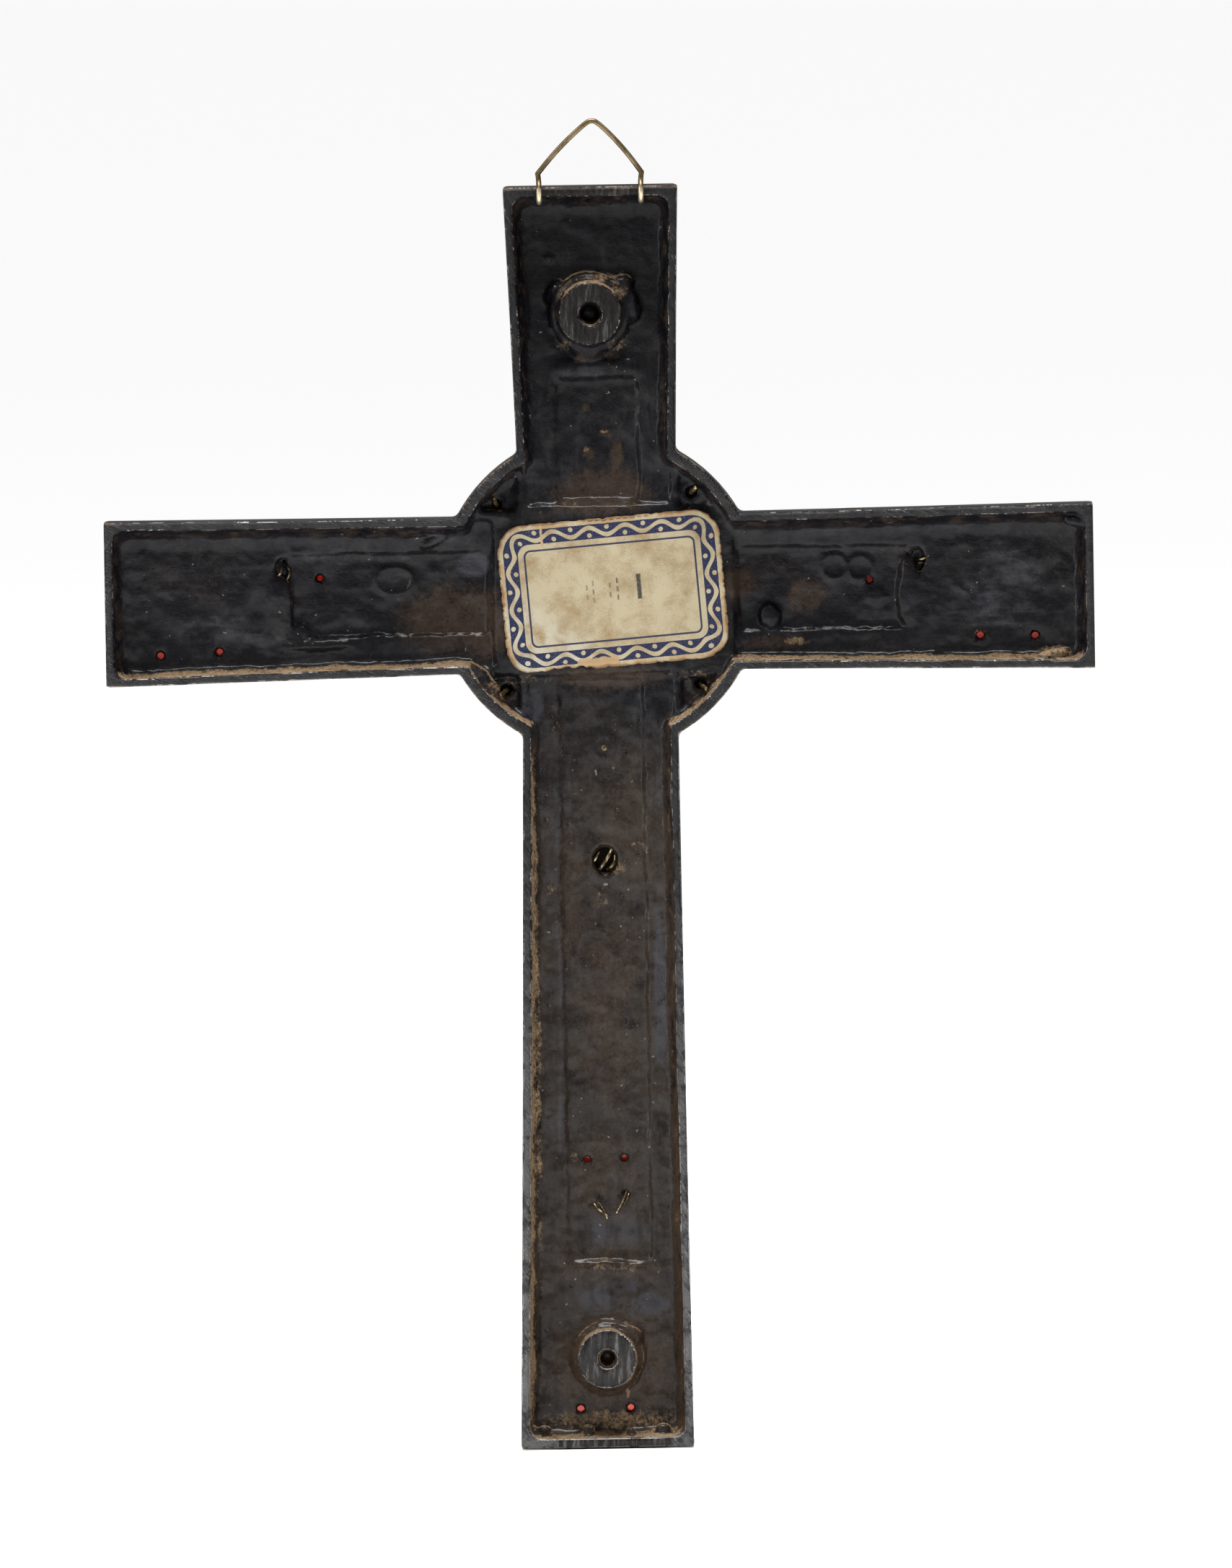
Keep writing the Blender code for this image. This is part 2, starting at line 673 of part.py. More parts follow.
def lip_ridge(cutters):
    """Bulging lip across the upper limb, just above the sunk panel."""
    half = PANEL_HALF
    z = DISC_Z + PANEL_UP + LIP_RADIUS

    def section(x, scale):
        points = []
        for i in range(12):
            turn = math.tau * i / 12
            y = depth(HOLLOW_DEPTH) + scale * LIP_RISE * math.cos(turn)
            points.append((x, y, z + scale * LIP_RADIUS * math.sin(turn)))
        return points

    work = bmesh.new()
    sections = ((-half, 0.35), (-half * 0.85, 1.0), (half * 0.85, 1.0), (half, 0.35))
    rings = [[work.verts.new(point) for point in section(x, scale)] for x, scale in sections]
    for near, far in zip(rings, rings[1:]):
        for i in range(12):
            j = (i + 1) % 12
            work.faces.new((near[i], near[j], far[j], far[i]))
    work.faces.new(rings[0])
    work.faces.new(reversed(rings[-1]))
    bmesh.ops.recalc_face_normals(work, faces=work.faces)
    mesh = bpy.data.meshes.new("lip")
    work.to_mesh(mesh)
    work.free()
    return add("lip", mesh, cutters)


def make_label(parts, finish):
    """The label lies flat on its seat, turned a little."""
    half_wide = LABEL_WIDTH / 2 - LABEL_CORNER
    half_high = LABEL_HEIGHT / 2 - LABEL_CORNER
    x, z = place(*LABEL_CENTRE)
    turn = Matrix.Rotation(-LABEL_TURN, 2)
    points = []
    for quarter, (sx, sz) in enumerate(((1, 1), (-1, 1), (-1, -1), (1, -1))):
        for i in range(6):
            angle = math.pi / 2 * (quarter + i / 5)
            local = Vector((sx * half_wide + LABEL_CORNER * math.cos(angle),
                            sz * half_high + LABEL_CORNER * math.sin(angle)))
            turned = turn @ local
            points.append((x + turned.x, z + turned.y))
    back = depth(SEAT_DEPTH) + GAP
    return slab("label", points, back, back + LABEL_THICKNESS, parts, finish)


def fixing(name, points, diameter, parts, finish):
    item = wire(name, points, diameter, parts, finish)
    item.data.shade_smooth()
    return item


def make_fixings(parts, finish):
    """Wires and pins that hold the figure; each runs from behind it, through the cross, and bends."""
    start = depth(PANEL_FRONT)
    floor = depth(HOLLOW_DEPTH + PANEL_RECESS)
    lift = floor + FIXING_WIRE
    for side, name in ((-1, "left"), (1, "right")):
        x, z = place(side * HAND_OUT, HAND_UP)
        first, last = x + WIRE_SPREAD, x - WIRE_SPREAD
        high, low = z + WIRE_LEAN, z - WIRE_LEAN
        points = ((first, start, high), (first, floor, high), (first, lift + GAP, high),
                  (last, lift + 2 * GAP, low), (last, floor, low), (last, start, low))
        fixing("hand_wire_" + name, points, FIXING_WIRE, parts, finish)
    x, z = place(*CHEST_PIN)
    fixing("chest_pin", ((x, start, z), (x, lift, z)), THICK_WIRE, parts, finish)
    x, z = place(*WAIST_WIRE)
    reach = WAIST_REACH
    points = ((x - reach * 0.7, start, z + reach), (x - reach * 0.7, floor, z + reach),
              (x - reach * 0.4, floor + THICK_WIRE * 0.9, z + reach * 0.7),
              (x + reach * 0.5, floor + THICK_WIRE * 0.9, z - reach * 0.7),
              (x + reach * 0.7, floor, z - reach), (x + reach * 0.7, start, z - reach))
    fixing("waist_wire", points, THICK_WIRE, parts, finish)
    for name, where, (across, up) in zip(("left", "right"), FOOT_WIRES, FOOT_WIRE_ENDS):
        x, z = place(*above_foot(*where))
        points = ((x, start, z), (x, floor, z), (x - across * 0.2, lift, z + up * 0.2),
                  (x - across, lift + GAP, z + up))
        fixing("foot_wire_" + name, points, FIXING_WIRE, parts, finish)


def blob(x, y, z, rx, ry, rz, turn=0.0):
    """One rounded mass of the figure, placed from the disc centre; turned about Y."""
    bpy.ops.mesh.primitive_uv_sphere_add(segments=20, ring_count=12, radius=1.0)
    item = bpy.context.object
    item.data.transform(Matrix.Diagonal((rx, ry, rz, 1.0)))
    item.data.transform(Matrix.Rotation(turn, 4, "Y"))
    item.data.transform(Matrix.Translation((x, y, DISC_Z + z)))
    return item


def column(levels, axis):
    """A rounded mass with oval sections along an axis; each level is where, half height or
    width, half depth, and the two places of its middle."""
    work = bmesh.new()
    rings = []
    sides = 28
    for where, wide, thick, middle, y in levels:
        ring = []
        for i in range(sides):
            turn = math.tau * i / sides
            across = middle + wide * math.cos(turn)
            back = y + thick * math.sin(turn)
            point = (across, back, DISC_Z + where) if axis == "Z" else (where, back, DISC_Z + across)
            ring.append(work.verts.new(point))
        rings.append(ring)
    for near, far in zip(rings, rings[1:]):
        for i in range(sides):
            j = (i + 1) % sides
            work.faces.new((near[i], near[j], far[j], far[i]))
    work.faces.new(rings[0])
    work.faces.new(reversed(rings[-1]))
    bmesh.ops.recalc_face_normals(work, faces=work.faces)
    mesh = bpy.data.meshes.new("mass")
    work.to_mesh(mesh)
    work.free()
    item = bpy.data.objects.new("mass", mesh)
    bpy.context.scene.collection.objects.link(item)
    return item


def head_masses(h, back):
    """Skull, jaw, beard, nose, brow and cheeks, with hair falling to the shoulders."""
    head_z = FIGURE_TOP - 0.068 * h
    head_y = back - 0.058 * h
    masses = [
        blob(0, head_y, head_z, 0.043 * h, 0.05 * h, 0.062 * h),
        blob(0, head_y - 0.012 * h, head_z - 0.03 * h, 0.033 * h, 0.036 * h, 0.04 * h),
        blob(0, head_y - 0.022 * h, head_z - 0.058 * h, 0.024 * h, 0.025 * h, 0.028 * h),
        blob(0, head_y - 0.051 * h, head_z - 0.008 * h, 0.0075 * h, 0.011 * h, 0.017 * h),
        blob(0, head_y - 0.047 * h, head_z + 0.012 * h, 0.026 * h, 0.008 * h, 0.006 * h),
        blob(0, head_y + 0.012 * h, head_z + 0.006 * h, 0.053 * h, 0.046 * h, 0.058 * h),
    ]
    for side in (-1, 1):
        masses.append(blob(side * 0.046 * h, head_y + 0.014 * h, head_z - 0.055 * h,
                           0.017 * h, 0.026 * h, 0.055 * h, side * 0.12))
        masses.append(blob(side * 0.02 * h, head_y - 0.04 * h, head_z - 0.016 * h,
                           0.011 * h, 0.01 * h, 0.013 * h))
    return masses


def robe_masses(h, back):
    """The long robe as one column, with a gathered end of cloth at the hip."""
    middle = back - 0.04 * h
    shape = ((0.125, 0.03, 0.03), (0.15, 0.045, 0.032), (0.172, 0.095, 0.036), (0.2, 0.1, 0.042),
             (0.26, 0.082, 0.044), (0.33, 0.07, 0.042), (0.4, 0.065, 0.04), (0.42, 0.062, 0.038),
             (0.44, 0.067, 0.042), (0.5, 0.082, 0.045), (0.6, 0.088, 0.046), (0.72, 0.09, 0.045),
             (0.84, 0.094, 0.045), (0.905, 0.1, 0.044), (0.915, 0.094, 0.04))
    levels = [(FIGURE_TOP - share * h, wide * h, thick * h, 0.0, middle) for share, wide, thick in shape]
    hip = blob(-0.086 * h, middle, FIGURE_TOP - 0.6 * h, 0.03 * h, 0.02 * h, 0.035 * h, 0.5)
    tail = blob(-0.08 * h, middle, FIGURE_TOP - 0.68 * h, 0.02 * h, 0.018 * h, 0.06 * h, 0.15)
    return [column(levels, "Z"), hip, tail]


def arm_masses(h, back, side):
    """A wide sleeve that hangs open below the wrist, the wrist, and a spread hand on the cross."""
    shoulder_z = FIGURE_TOP - 0.178 * h
    levels = []
    cuff = HAND_OUT - 0.035 * h
    for share, hang, thick in ((0.0, 0.034, 0.036), (0.2, 0.035, 0.033), (0.45, 0.036, 0.03),
                               (0.7, 0.043, 0.028), (0.88, 0.053, 0.027), (0.97, 0.058, 0.026),
                               (1.0, 0.054, 0.022)):
        x = 0.05 * h + (cuff - 0.05 * h) * share
        arm_z = shoulder_z + (HAND_UP - shoulder_z) * share
        y = back - (0.04 - 0.016 * share) * h
        levels.append((side * x, hang * h, thick * h, arm_z + 0.022 * h - hang * h, y))
    wrist_y = back - 0.014 * h
    palm = side * (HAND_OUT + 0.045 * h)
    masses = [
        column(levels, "X"),
        blob(side * HAND_OUT, wrist_y, HAND_UP, 0.05 * h, 0.014 * h, 0.015 * h),
        blob(palm, wrist_y, HAND_UP, 0.03 * h, 0.012 * h, 0.025 * h),
        blob(palm - side * 0.005 * h, wrist_y - 0.002 * h, HAND_UP + 0.02 * h,
             0.026 * h, 0.009 * h, 0.008 * h, -side * 0.45),
    ]
    for finger in range(4):
        spread = (finger - 1.5) * 0.0125 * h
        masses.append(blob(palm + side * 0.038 * h, wrist_y, HAND_UP + spread,
                           0.032 * h, 0.0085 * h, 0.0075 * h, -side * spread * 20))
    return masses


def foot_masses(h, back, side):
    ankle = blob(side * 0.03 * h, back - 0.02 * h, FIGURE_TOP - 0.93 * h, 0.019 * h, 0.02 * h, 0.035 * h)
    foot = blob(side * 0.037 * h, back - 0.03 * h, FIGURE_TOP - 0.968 * h,
                0.02 * h, 0.016 * h, 0.034 * h, side * -0.18)
    return [ankle, foot]


def figure_masses():
    """All of the figure as overlapping rounded masses."""
    h = FIGURE_HEIGHT
    back = depth(PANEL_FRONT) - GAP
    masses = head_masses(h, back) + robe_masses(h, back)
    for side in (-1, 1):
        masses += arm_masses(h, back, side) + foot_masses(h, back, side)
    return masses


def robe_folds():
    """Soft pleats that run down the skirt of the robe."""
    h = FIGURE_HEIGHT
    front = depth(PANEL_FRONT) - GAP - 0.078 * h
    folds = []
    for i in range(6):
        across = (i - 2.5) / 2.5
        x = across * 0.062 * h
        y = front + 0.028 * h * across**2
        folds.append(blob(x, y, FIGURE_TOP - 0.7 * h, 0.0085 * h, 0.013 * h, 0.215 * h, across * -0.09))
    for i in range(3):
        z = FIGURE_TOP - (0.23 + 0.05 * i) * h
        folds.append(blob(0, front + 0.004 * h, z, (0.05 - 0.008 * i) * h, 0.009 * h, 0.009 * h))
    folds.append(blob(0, front + 0.037 * h, FIGURE_TOP - 0.42 * h, 0.071 * h, 0.05 * h, 0.012 * h))
    return folds


def make_figure(parts, cutters, finish):
    """One casting: the masses melt together, are thinned out, and are cut flat behind."""
    masses = figure_masses() + robe_folds()
    with bpy.context.temp_override(active_object=masses[0], object=masses[0],
                                   selected_objects=masses, selected_editable_objects=masses):
        bpy.ops.object.join()
    figure = masses[0]
    figure.name = figure.data.name = "corpus"
    for group in figure.users_collection:
        group.objects.unlink(figure)
    parts.objects.link(figure)
    figure.data.materials.clear()
    figure.data.materials.append(finish)
    melt = figure.modifiers.new("melt", "REMESH")
    melt.mode = "VOXEL"
    melt.voxel_size = FIGURE_HEIGHT / 190
    soften = figure.modifiers.new("soften", "SMOOTH")
    soften.factor = 0.5
    soften.iterations = 3
    thin = figure.modifiers.new("thin", "DECIMATE")
    thin.ratio = 0.055
    thin.use_collapse_triangulate = True
    back = depth(PANEL_FRONT) - GAP
    wall = box("figure_back", (-ARM_REACH, back, DISC_Z - LOWER_REACH),
               (ARM_REACH, back + FIGURE_HEIGHT / 8, DISC_Z + UPPER_REACH), cutters)
    boolean(figure, wall)
    return figure


def main():
    clear_scene()
    parts = collection("crucifix")
    cutters = collection("cutters")
    bronze = material("patinated_bronze", (0.022, 0.021, 0.024), 0.42, 0.9)
    robed = material("figure_bronze", (0.05, 0.04, 0.032), 0.4, 0.9)
    loop = material("hanger_brass", (0.17, 0.13, 0.08), 0.35, 1.0)
    paper = material("label_paper", (0.6, 0.5, 0.33), 0.85, 0.0)
    glass = material("red_glass", (0.55, 0.02, 0.008), 0.12, 0.0)
    brass = material("fixing_brass", (0.45, 0.34, 0.16), 0.3, 1.0)
    studs = material("stud_brass", (0.3, 0.22, 0.1), 0.35, 1.0)

    limbs = make_limbs()
    make_cross(limbs, parts, cutters, bronze)
    hanger(parts, loop).data.shade_smooth()
    make_label(parts, paper)
    for end, pair in BEAD_PAIRS.items():
        for number, where in enumerate(pair, 1):
            bead("bead_%s_%d" % (end, number), bead_place(end, *where), parts, glass)
    for index in range(len(STUD_PLACES)):
        stud(index, parts, cutters, studs)
    make_fixings(parts, brass)
    make_figure(parts, cutters, robed)


main()
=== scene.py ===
"""A cast bronze wall crucifix seen from its hollow back, with the finish of every piece.

The axes are the part's own: +Z is up, the figure faces -Y and the open back faces +Y. Lengths are
in metres, and places on the cross are in millimetres from the middle of its disc, across and up as
they are seen from behind.
"""

import json
import math

import bmesh
import bpy
import numpy as np
from mathutils import Matrix, Vector
from mathutils.bvhtree import BVHTree


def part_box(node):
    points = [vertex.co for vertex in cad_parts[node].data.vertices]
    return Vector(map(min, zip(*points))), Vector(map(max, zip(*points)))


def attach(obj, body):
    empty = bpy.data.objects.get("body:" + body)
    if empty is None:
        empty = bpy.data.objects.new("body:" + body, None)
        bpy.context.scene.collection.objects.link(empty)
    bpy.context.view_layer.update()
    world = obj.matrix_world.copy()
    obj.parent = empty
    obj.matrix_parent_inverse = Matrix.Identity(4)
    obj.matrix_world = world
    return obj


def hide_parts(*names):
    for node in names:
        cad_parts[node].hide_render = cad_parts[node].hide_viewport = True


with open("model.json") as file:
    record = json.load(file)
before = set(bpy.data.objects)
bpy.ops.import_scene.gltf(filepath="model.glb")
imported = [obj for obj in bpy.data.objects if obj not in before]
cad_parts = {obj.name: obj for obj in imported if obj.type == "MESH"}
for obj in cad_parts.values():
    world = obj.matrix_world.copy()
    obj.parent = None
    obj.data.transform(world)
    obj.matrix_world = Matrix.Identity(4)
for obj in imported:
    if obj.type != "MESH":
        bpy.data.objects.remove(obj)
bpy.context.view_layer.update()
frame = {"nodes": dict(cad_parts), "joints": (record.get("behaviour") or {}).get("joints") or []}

# The camera looks at the back of the cross from a little above, as in a museum record of it. The
# whole frame is tipped by about a degree, because the cross leans that much to one side.
MM = 0.001
PIXELS_PER_MM = 7.32
FRAME_WIDTH_PX = 1708
SENSOR_MM = 36.0
CAMERA_DISTANCE = 5.0
CAMERA_RISE = math.radians(3.5)
CAMERA_ROLL = math.radians(0.95)
AIM_RIGHT = 3.14 * MM
AIM_UP = -36.13 * MM
DISC_BELOW_TOP = 77.1 * MM

low_corner, high_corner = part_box("cross")
RIM_Y = high_corner.y
DISC = Vector((0.0, RIM_Y, high_corner.z - DISC_BELOW_TOP))

forward = Vector((0.0, -math.cos(CAMERA_RISE), -math.sin(CAMERA_RISE)))
level_right = Vector((-1.0, 0.0, 0.0))
level_up = Vector((0.0, -math.sin(CAMERA_RISE), math.cos(CAMERA_RISE)))
right = level_right * math.cos(CAMERA_ROLL) - level_up * math.sin(CAMERA_ROLL)
up = level_up * math.cos(CAMERA_ROLL) + level_right * math.sin(CAMERA_ROLL)
bpy.ops.object.camera_add(location=DISC - forward * CAMERA_DISTANCE + right * AIM_RIGHT + up * AIM_UP)
camera = bpy.context.object
camera.rotation_euler = Matrix((right, up, -forward)).transposed().to_euler()
camera.data.sensor_fit = "HORIZONTAL"
camera.data.sensor_width = SENSOR_MM
camera.data.lens = SENSOR_MM * PIXELS_PER_MM * CAMERA_DISTANCE / MM / FRAME_WIDTH_PX
camera.data.clip_end = 200.0
bpy.context.scene.camera = camera

# The cross stands on a wide sheet of white paper in a white studio. One large softbox hangs above
# it, a little towards the camera, and a long strip on one side gives the edges a faint shine.
FLOOR_SIZE = 120.0
FLOOR_GAP = 0.0002
FLOOR_GLOW = 0.57
PAINTED_SHADOW_RADIUS = 0.035
STUDIO_LIGHT = 0.4
SOFTBOX_POWER = 38.0
STRIP_POWER = 6.0

bpy.ops.mesh.primitive_plane_add(size=FLOOR_SIZE, location=(0.0, 0.0, low_corner.z - FLOOR_GAP))
floor = bpy.context.object
floor.name = floor.data.name = "paper_floor"
paper_white = bpy.data.materials.new("paper_floor")
paper_white.use_nodes = True
paper_shader = paper_white.node_tree.nodes["Principled BSDF"]
paper_shader.inputs["Base Color"].default_value = (0.93, 0.93, 0.93, 1.0)
paper_shader.inputs["Roughness"].default_value = 0.9
paper_shader.inputs["Emission Strength"].default_value = FLOOR_GLOW
# The paper glows evenly, but the glow fades out close to the base: a painted contact shadow.
floor_nodes, floor_links = paper_white.node_tree.nodes, paper_white.node_tree.links
floor_place = floor_nodes.new("ShaderNodeTexCoord")
from_base = floor_nodes.new("ShaderNodeVectorMath")
from_base.operation = "LENGTH"
glow_outside_painted_shadow = floor_nodes.new("ShaderNodeMapRange")
glow_outside_painted_shadow.inputs["From Min"].default_value = PAINTED_SHADOW_RADIUS / 4
glow_outside_painted_shadow.inputs["From Max"].default_value = PAINTED_SHADOW_RADIUS
floor_links.new(floor_place.outputs["Object"], from_base.inputs[0])
floor_links.new(from_base.outputs["Value"], glow_outside_painted_shadow.inputs["Value"])
floor_links.new(glow_outside_painted_shadow.outputs["Result"], paper_shader.inputs["Emission Color"])
floor.data.materials.append(paper_white)

studio = bpy.data.worlds.new("studio")
studio.use_nodes = True
studio.node_tree.nodes["Background"].inputs["Color"].default_value = (1.0, 1.0, 1.0, 1.0)
studio.node_tree.nodes["Background"].inputs["Strength"].default_value = STUDIO_LIGHT
bpy.context.scene.world = studio
bpy.context.scene.view_settings.view_transform = "Standard"


def area_light(name, place, aim, size, power):
    """A soft rectangular lamp at a place, facing a point."""
    bpy.ops.object.light_add(type="AREA", location=place)
    lamp = bpy.context.object
    lamp.name = name
    lamp.data.shape = "RECTANGLE"
    lamp.data.size, lamp.data.size_y = size
    lamp.data.energy = power
    lamp.rotation_euler = (Vector(aim) - Vector(place)).to_track_quat("-Z", "Y").to_euler()


area_light("softbox", (0.06, 0.12, 0.95), (0.0, 0.0, -0.1), (0.7, 0.45), SOFTBOX_POWER)
area_light("side_strip", (1.0, 0.5, 0.3), (0.0, 0.0, -0.12), (0.25, 1.0), STRIP_POWER)


# The cross is one bronze casting with a raised rim filed flat at the back, and a hollow whose skin
# was left as it came from the mould: waxy hollows, drops of metal, plug marks, lacquer and dirt.
CAST_VOXEL = 0.42 * MM
MOST_TRIANGLES = 188000
FILED_BAND = 0.25 * MM
FLAT_BAND = 0.12 * MM
SHAFT_START = -28.0
MOULD_ROUNDING = 11
METAL_ROUNDING = 4
# Size and height of the unevenness that the mould left on the skin of the hollow
UNEVENNESS = ((9.0 * MM, 1.0 * MM), (3.2 * MM, 0.34 * MM), (1.2 * MM, 0.17 * MM))

# Lumps of metal: across, up, depth under the rim, then half sizes across, deep and up, and a turn
LUMPS = (
    (-1.2, 46.4, 5.6, 3.6, 1.9, 2.4, 0),
    (4.2, 57.6, 5.0, 3.4, 2.2, 2.2, 30),
    (6.4, 54.4, 5.4, 2.0, 1.8, 3.6, 15),
    (-7.2, 56.6, 5.4, 1.9, 1.2, 2.8, -35),
    (-8.6, 63.4, 5.9, 0.7, 0.6, 0.7, 0),
    (3.4, -141.0, 5.6, 2.8, 1.9, 1.6, -20),
    (-13.0, -158.8, 3.2, 1.7, 1.5, 1.0, 0),
    (-4.7, -159.0, 3.4, 1.4, 1.5, 1.2, 0),
    (3.4, -159.6, 3.0, 1.0, 1.2, 0.9, 0),
    (9.5, -159.2, 3.4, 1.4, 1.4, 1.0, 0),
    (90.4, 12.0, 1.7, 2.5, 1.4, 1.0, -14),
    (86.0, -12.9, 3.4, 3.4, 1.7, 1.0, 12),
    (-56.9, -7.2, 6.9, 2.0, 1.0, 1.7, 35),
    (-42.4, -8.2, 6.8, 1.9, 0.9, 0.9, 0),
    (32.3, -5.4, 6.5, 2.1, 1.4, 2.6, 20),
    (68.6, -0.6, 6.2, 0.6, 0.6, 2.2, 50),
    (52.6, -1.8, 7.0, 2.1, 0.4, 1.5, 0),
    (-20.2, 14.9, 5.2, 4.8, 1.1, 1.2, -11),
    (-30.5, 10.6, 5.6, 3.6, 1.0, 1.0, 28),
    (20.0, -15.6, 5.2, 4.6, 1.2, 1.0, 8),
    (-22.0, -16.4, 4.6, 1.3, 2.2, 4.4, 42),
    (0.2, -29.2, 7.2, 3.2, 0.5, 2.6, 0),
    (-13.7, 25.4, 3.0, 0.7, 2.4, 3.2, -6),
    (-0.6, 42.6, 6.2, 8.2, 1.1, 1.3, 0),
    (-60.2, 4.6, 8.7, 1.9, 0.9, 3.0, 0),
    (60.6, 4.8, 8.7, 1.9, 0.9, 3.0, 0),
    (-54.0, -9.4, 6.3, 8.0, 1.0, 0.9, 1),
    (-60.6, -2.4, 6.4, 2.6, 1.3, 6.4, 0),
    (58.6, -1.0, 6.5, 2.2, 1.2, 7.0, 0),
    (0.0, -128.6, 6.5, 8.6, 0.8, 1.4, 0),
)
# Rings of metal round the bosses and the pins: across, up, depth, radius, thickness and stretch
RINGS = (
    (-0.9, 52.9, 4.6, 6.6, 1.3, 1.0),
    (-0.9, -145.5, 5.2, 6.1, 0.9, 1.0),
    (-2.0, -68.3, 7.1, 3.3, 0.48, 1.24),
    (-38.8, 2.6, 6.95, 3.6, 0.4, 0.7),
    (44.6, 3.9, 6.95, 2.4, 0.36, 0.95),
    (49.4, 3.6, 6.95, 2.2, 0.36, 1.0),
    (0.3, -29.6, 7.0, 1.9, 0.45, 1.25),
    (72.2, -9.6, 6.0, 1.3, 0.35, 1.0),
    (-19.3, 16.8, 6.2, 1.5, 0.5, 1.0),
    (17.7, 18.5, 6.2, 1.6, 0.5, 1.0),
    (-17.9, -18.4, 6.2, 1.7, 0.6, 1.0),
    (18.9, -17.8, 6.2, 1.8, 0.6, 1.0),
    (0.2, -51.1, 7.1, 2.9, 0.4, 1.2),
    (-3.4, -116.4, 7.0, 1.2, 0.45, 1.0),
)
# Beads of metal and lacquer that glint on the skin: across, up and depth under the rim
DROPS = (
    (-9.3, -23.5, 5.9), (-8.5, -25.0, 5.9), (-7.1, -29.8, 7.1), (-7.6, -31.4, 7.1), (-10.6, -38.9, 5.9),
    (-7.5, -39.0, 7.1), (-5.2, -38.7, 7.1), (-10.7, -43.3, 5.9), (-6.6, -44.3, 7.1), (-3.6, -43.1, 7.1),
    (2.7, -41.6, 7.1), (4.3, -30.8, 7.1), (2.8, -34.8, 7.1), (6.8, -24.6, 7.1), (8.6, -23.0, 5.9),
    (3.3, -58.1, 7.1), (-5.2, -83.0, 7.1), (-13.5, -86.3, 4.4), (-12.3, -140.4, 5.9), (-7.4, -132.0, 5.9),
    (-0.3, -24.0, 7.1), (26.4, -12.0, 5.9), (5.6, 49.2, 5.6), (5.9, 50.4, 5.4), (14.4, -16.2, 4.6),
)
DROP_RADIUS = 0.38


def behind(across, above, depth):
    """World place of a point given in millimetres as seen from behind, and its depth under the rim."""
    return Vector((DISC.x - across * MM, RIM_Y - depth * MM, DISC.z + above * MM))


def pick(*items):
    """Select these objects alone; the first is the active one."""
    bpy.ops.object.select_all(action="DESELECT")
    for item in items:
        item.select_set(True)
    bpy.context.view_layer.objects.active = items[0]


def shade(item, degrees):
    """Shade a piece smooth, but sharp where its faces meet at more than this angle."""
    pick(item)
    bpy.ops.object.shade_smooth_by_angle(angle=math.radians(degrees))


def modify(item, kind, **settings):
    """Add a modifier to an object and apply it."""
    pick(item)
    step = item.modifiers.new(kind.lower(), kind)
    for setting, value in settings.items():
        setattr(step, setting, value)
    bpy.ops.object.modifier_apply(modifier=step.name)


def lump(across, above, depth, wide, thick, high, turn=0.0, rings=12):
    """A rounded drop of metal, turned in the plane of the cross."""
    bpy.ops.mesh.primitive_uv_sphere_add(segments=2 * rings, ring_count=rings, radius=MM,
                                         location=behind(across, above, depth),
                                         rotation=(0.0, math.radians(turn), 0.0))
    item = bpy.context.object
    item.scale = (wide, thick, high)
    pick(item)
    bpy.ops.object.transform_apply(location=True, rotation=True, scale=True)
    return item


def ring(across, above, depth, radius, thickness, stretch):
    """A flat ring of metal round a boss, a pin or a plug."""
    bpy.ops.mesh.primitive_torus_add(major_radius=radius * MM, minor_radius=thickness * MM,
                                     major_segments=40, minor_segments=10,
                                     location=behind(across, above, depth),
                                     rotation=(math.pi / 2, 0.0, 0.0))
    item = bpy.context.object
    item.scale = (1.0, stretch, 1.0)
    pick(item)
    bpy.ops.object.transform_apply(location=True, rotation=True, scale=True)
    return item


def merged_copy(node, name):
    """A copy of a solid of the frame, with its loose triangles merged into one skin."""
    item = bpy.data.objects.new(name, frame["nodes"][node].data.copy())
    bpy.context.scene.collection.objects.link(item)
    item.data.name = name
    item.data.materials.clear()
    pick(item)
    bpy.ops.object.mode_set(mode="EDIT")
    bpy.ops.mesh.select_all(action="SELECT")
    bpy.ops.mesh.remove_doubles(threshold=0.000002)
    bpy.ops.object.mode_set(mode="OBJECT")
    return item


def rows(vectors, name):
    """The places or normals of a mesh as an array with one row each."""
    numbers = np.empty(len(vectors) * 3, np.float32)
    vectors.foreach_get(name, numbers)
    return numbers.reshape(-1, 3)


def paint(mesh, name, values):
    """Keep one number for each vertex, which the finish reads by name."""
    layer = mesh.attributes.get(name) or mesh.attributes.new(name, "FLOAT", "POINT")
    layer.data.foreach_set("value", np.asarray(values, np.float32))


def group_of(item, name, weights):
    """A vertex group that holds these weights."""
    group = item.vertex_groups.new(name=name)
    for step in range(1, 11):
        share = step / 10
        members = np.nonzero(np.round(weights * 10) == step)[0]
        if len(members):
            group.add(members.tolist(), share, "REPLACE")


def open_to_back(item):
    """1 for each vertex of the hollow: just off the skin, something of the cross lies before it."""
    tree = BVHTree.FromObject(item, bpy.context.evaluated_depsgraph_get())
    places, normals = rows(item.data.vertices, "co"), rows(item.data.vertex_normals, "vector")
    starts = places + normals * 0.0006
    ahead = Vector((0.0, -1.0, 0.0))
    return np.array([1.0 if tree.ray_cast(Vector(start), ahead, 0.012)[0] else 0.0 for start in starts])


def soften(item, iterations):
    """Round the skin of the hollow and leave the filed rim and the front as they are."""
    modify(item, "REMESH", mode="VOXEL", voxel_size=CAST_VOXEL)
    item.vertex_groups.clear()
    under_rim = RIM_Y - rows(item.data.vertices, "co")[:, 1]
    group_of(item, "skin", open_to_back(item) * np.clip((under_rim - 0.0002) / 0.0012, 0.0, 1.0))
    modify(item, "SMOOTH", factor=0.5, iterations=iterations, vertex_group="skin")


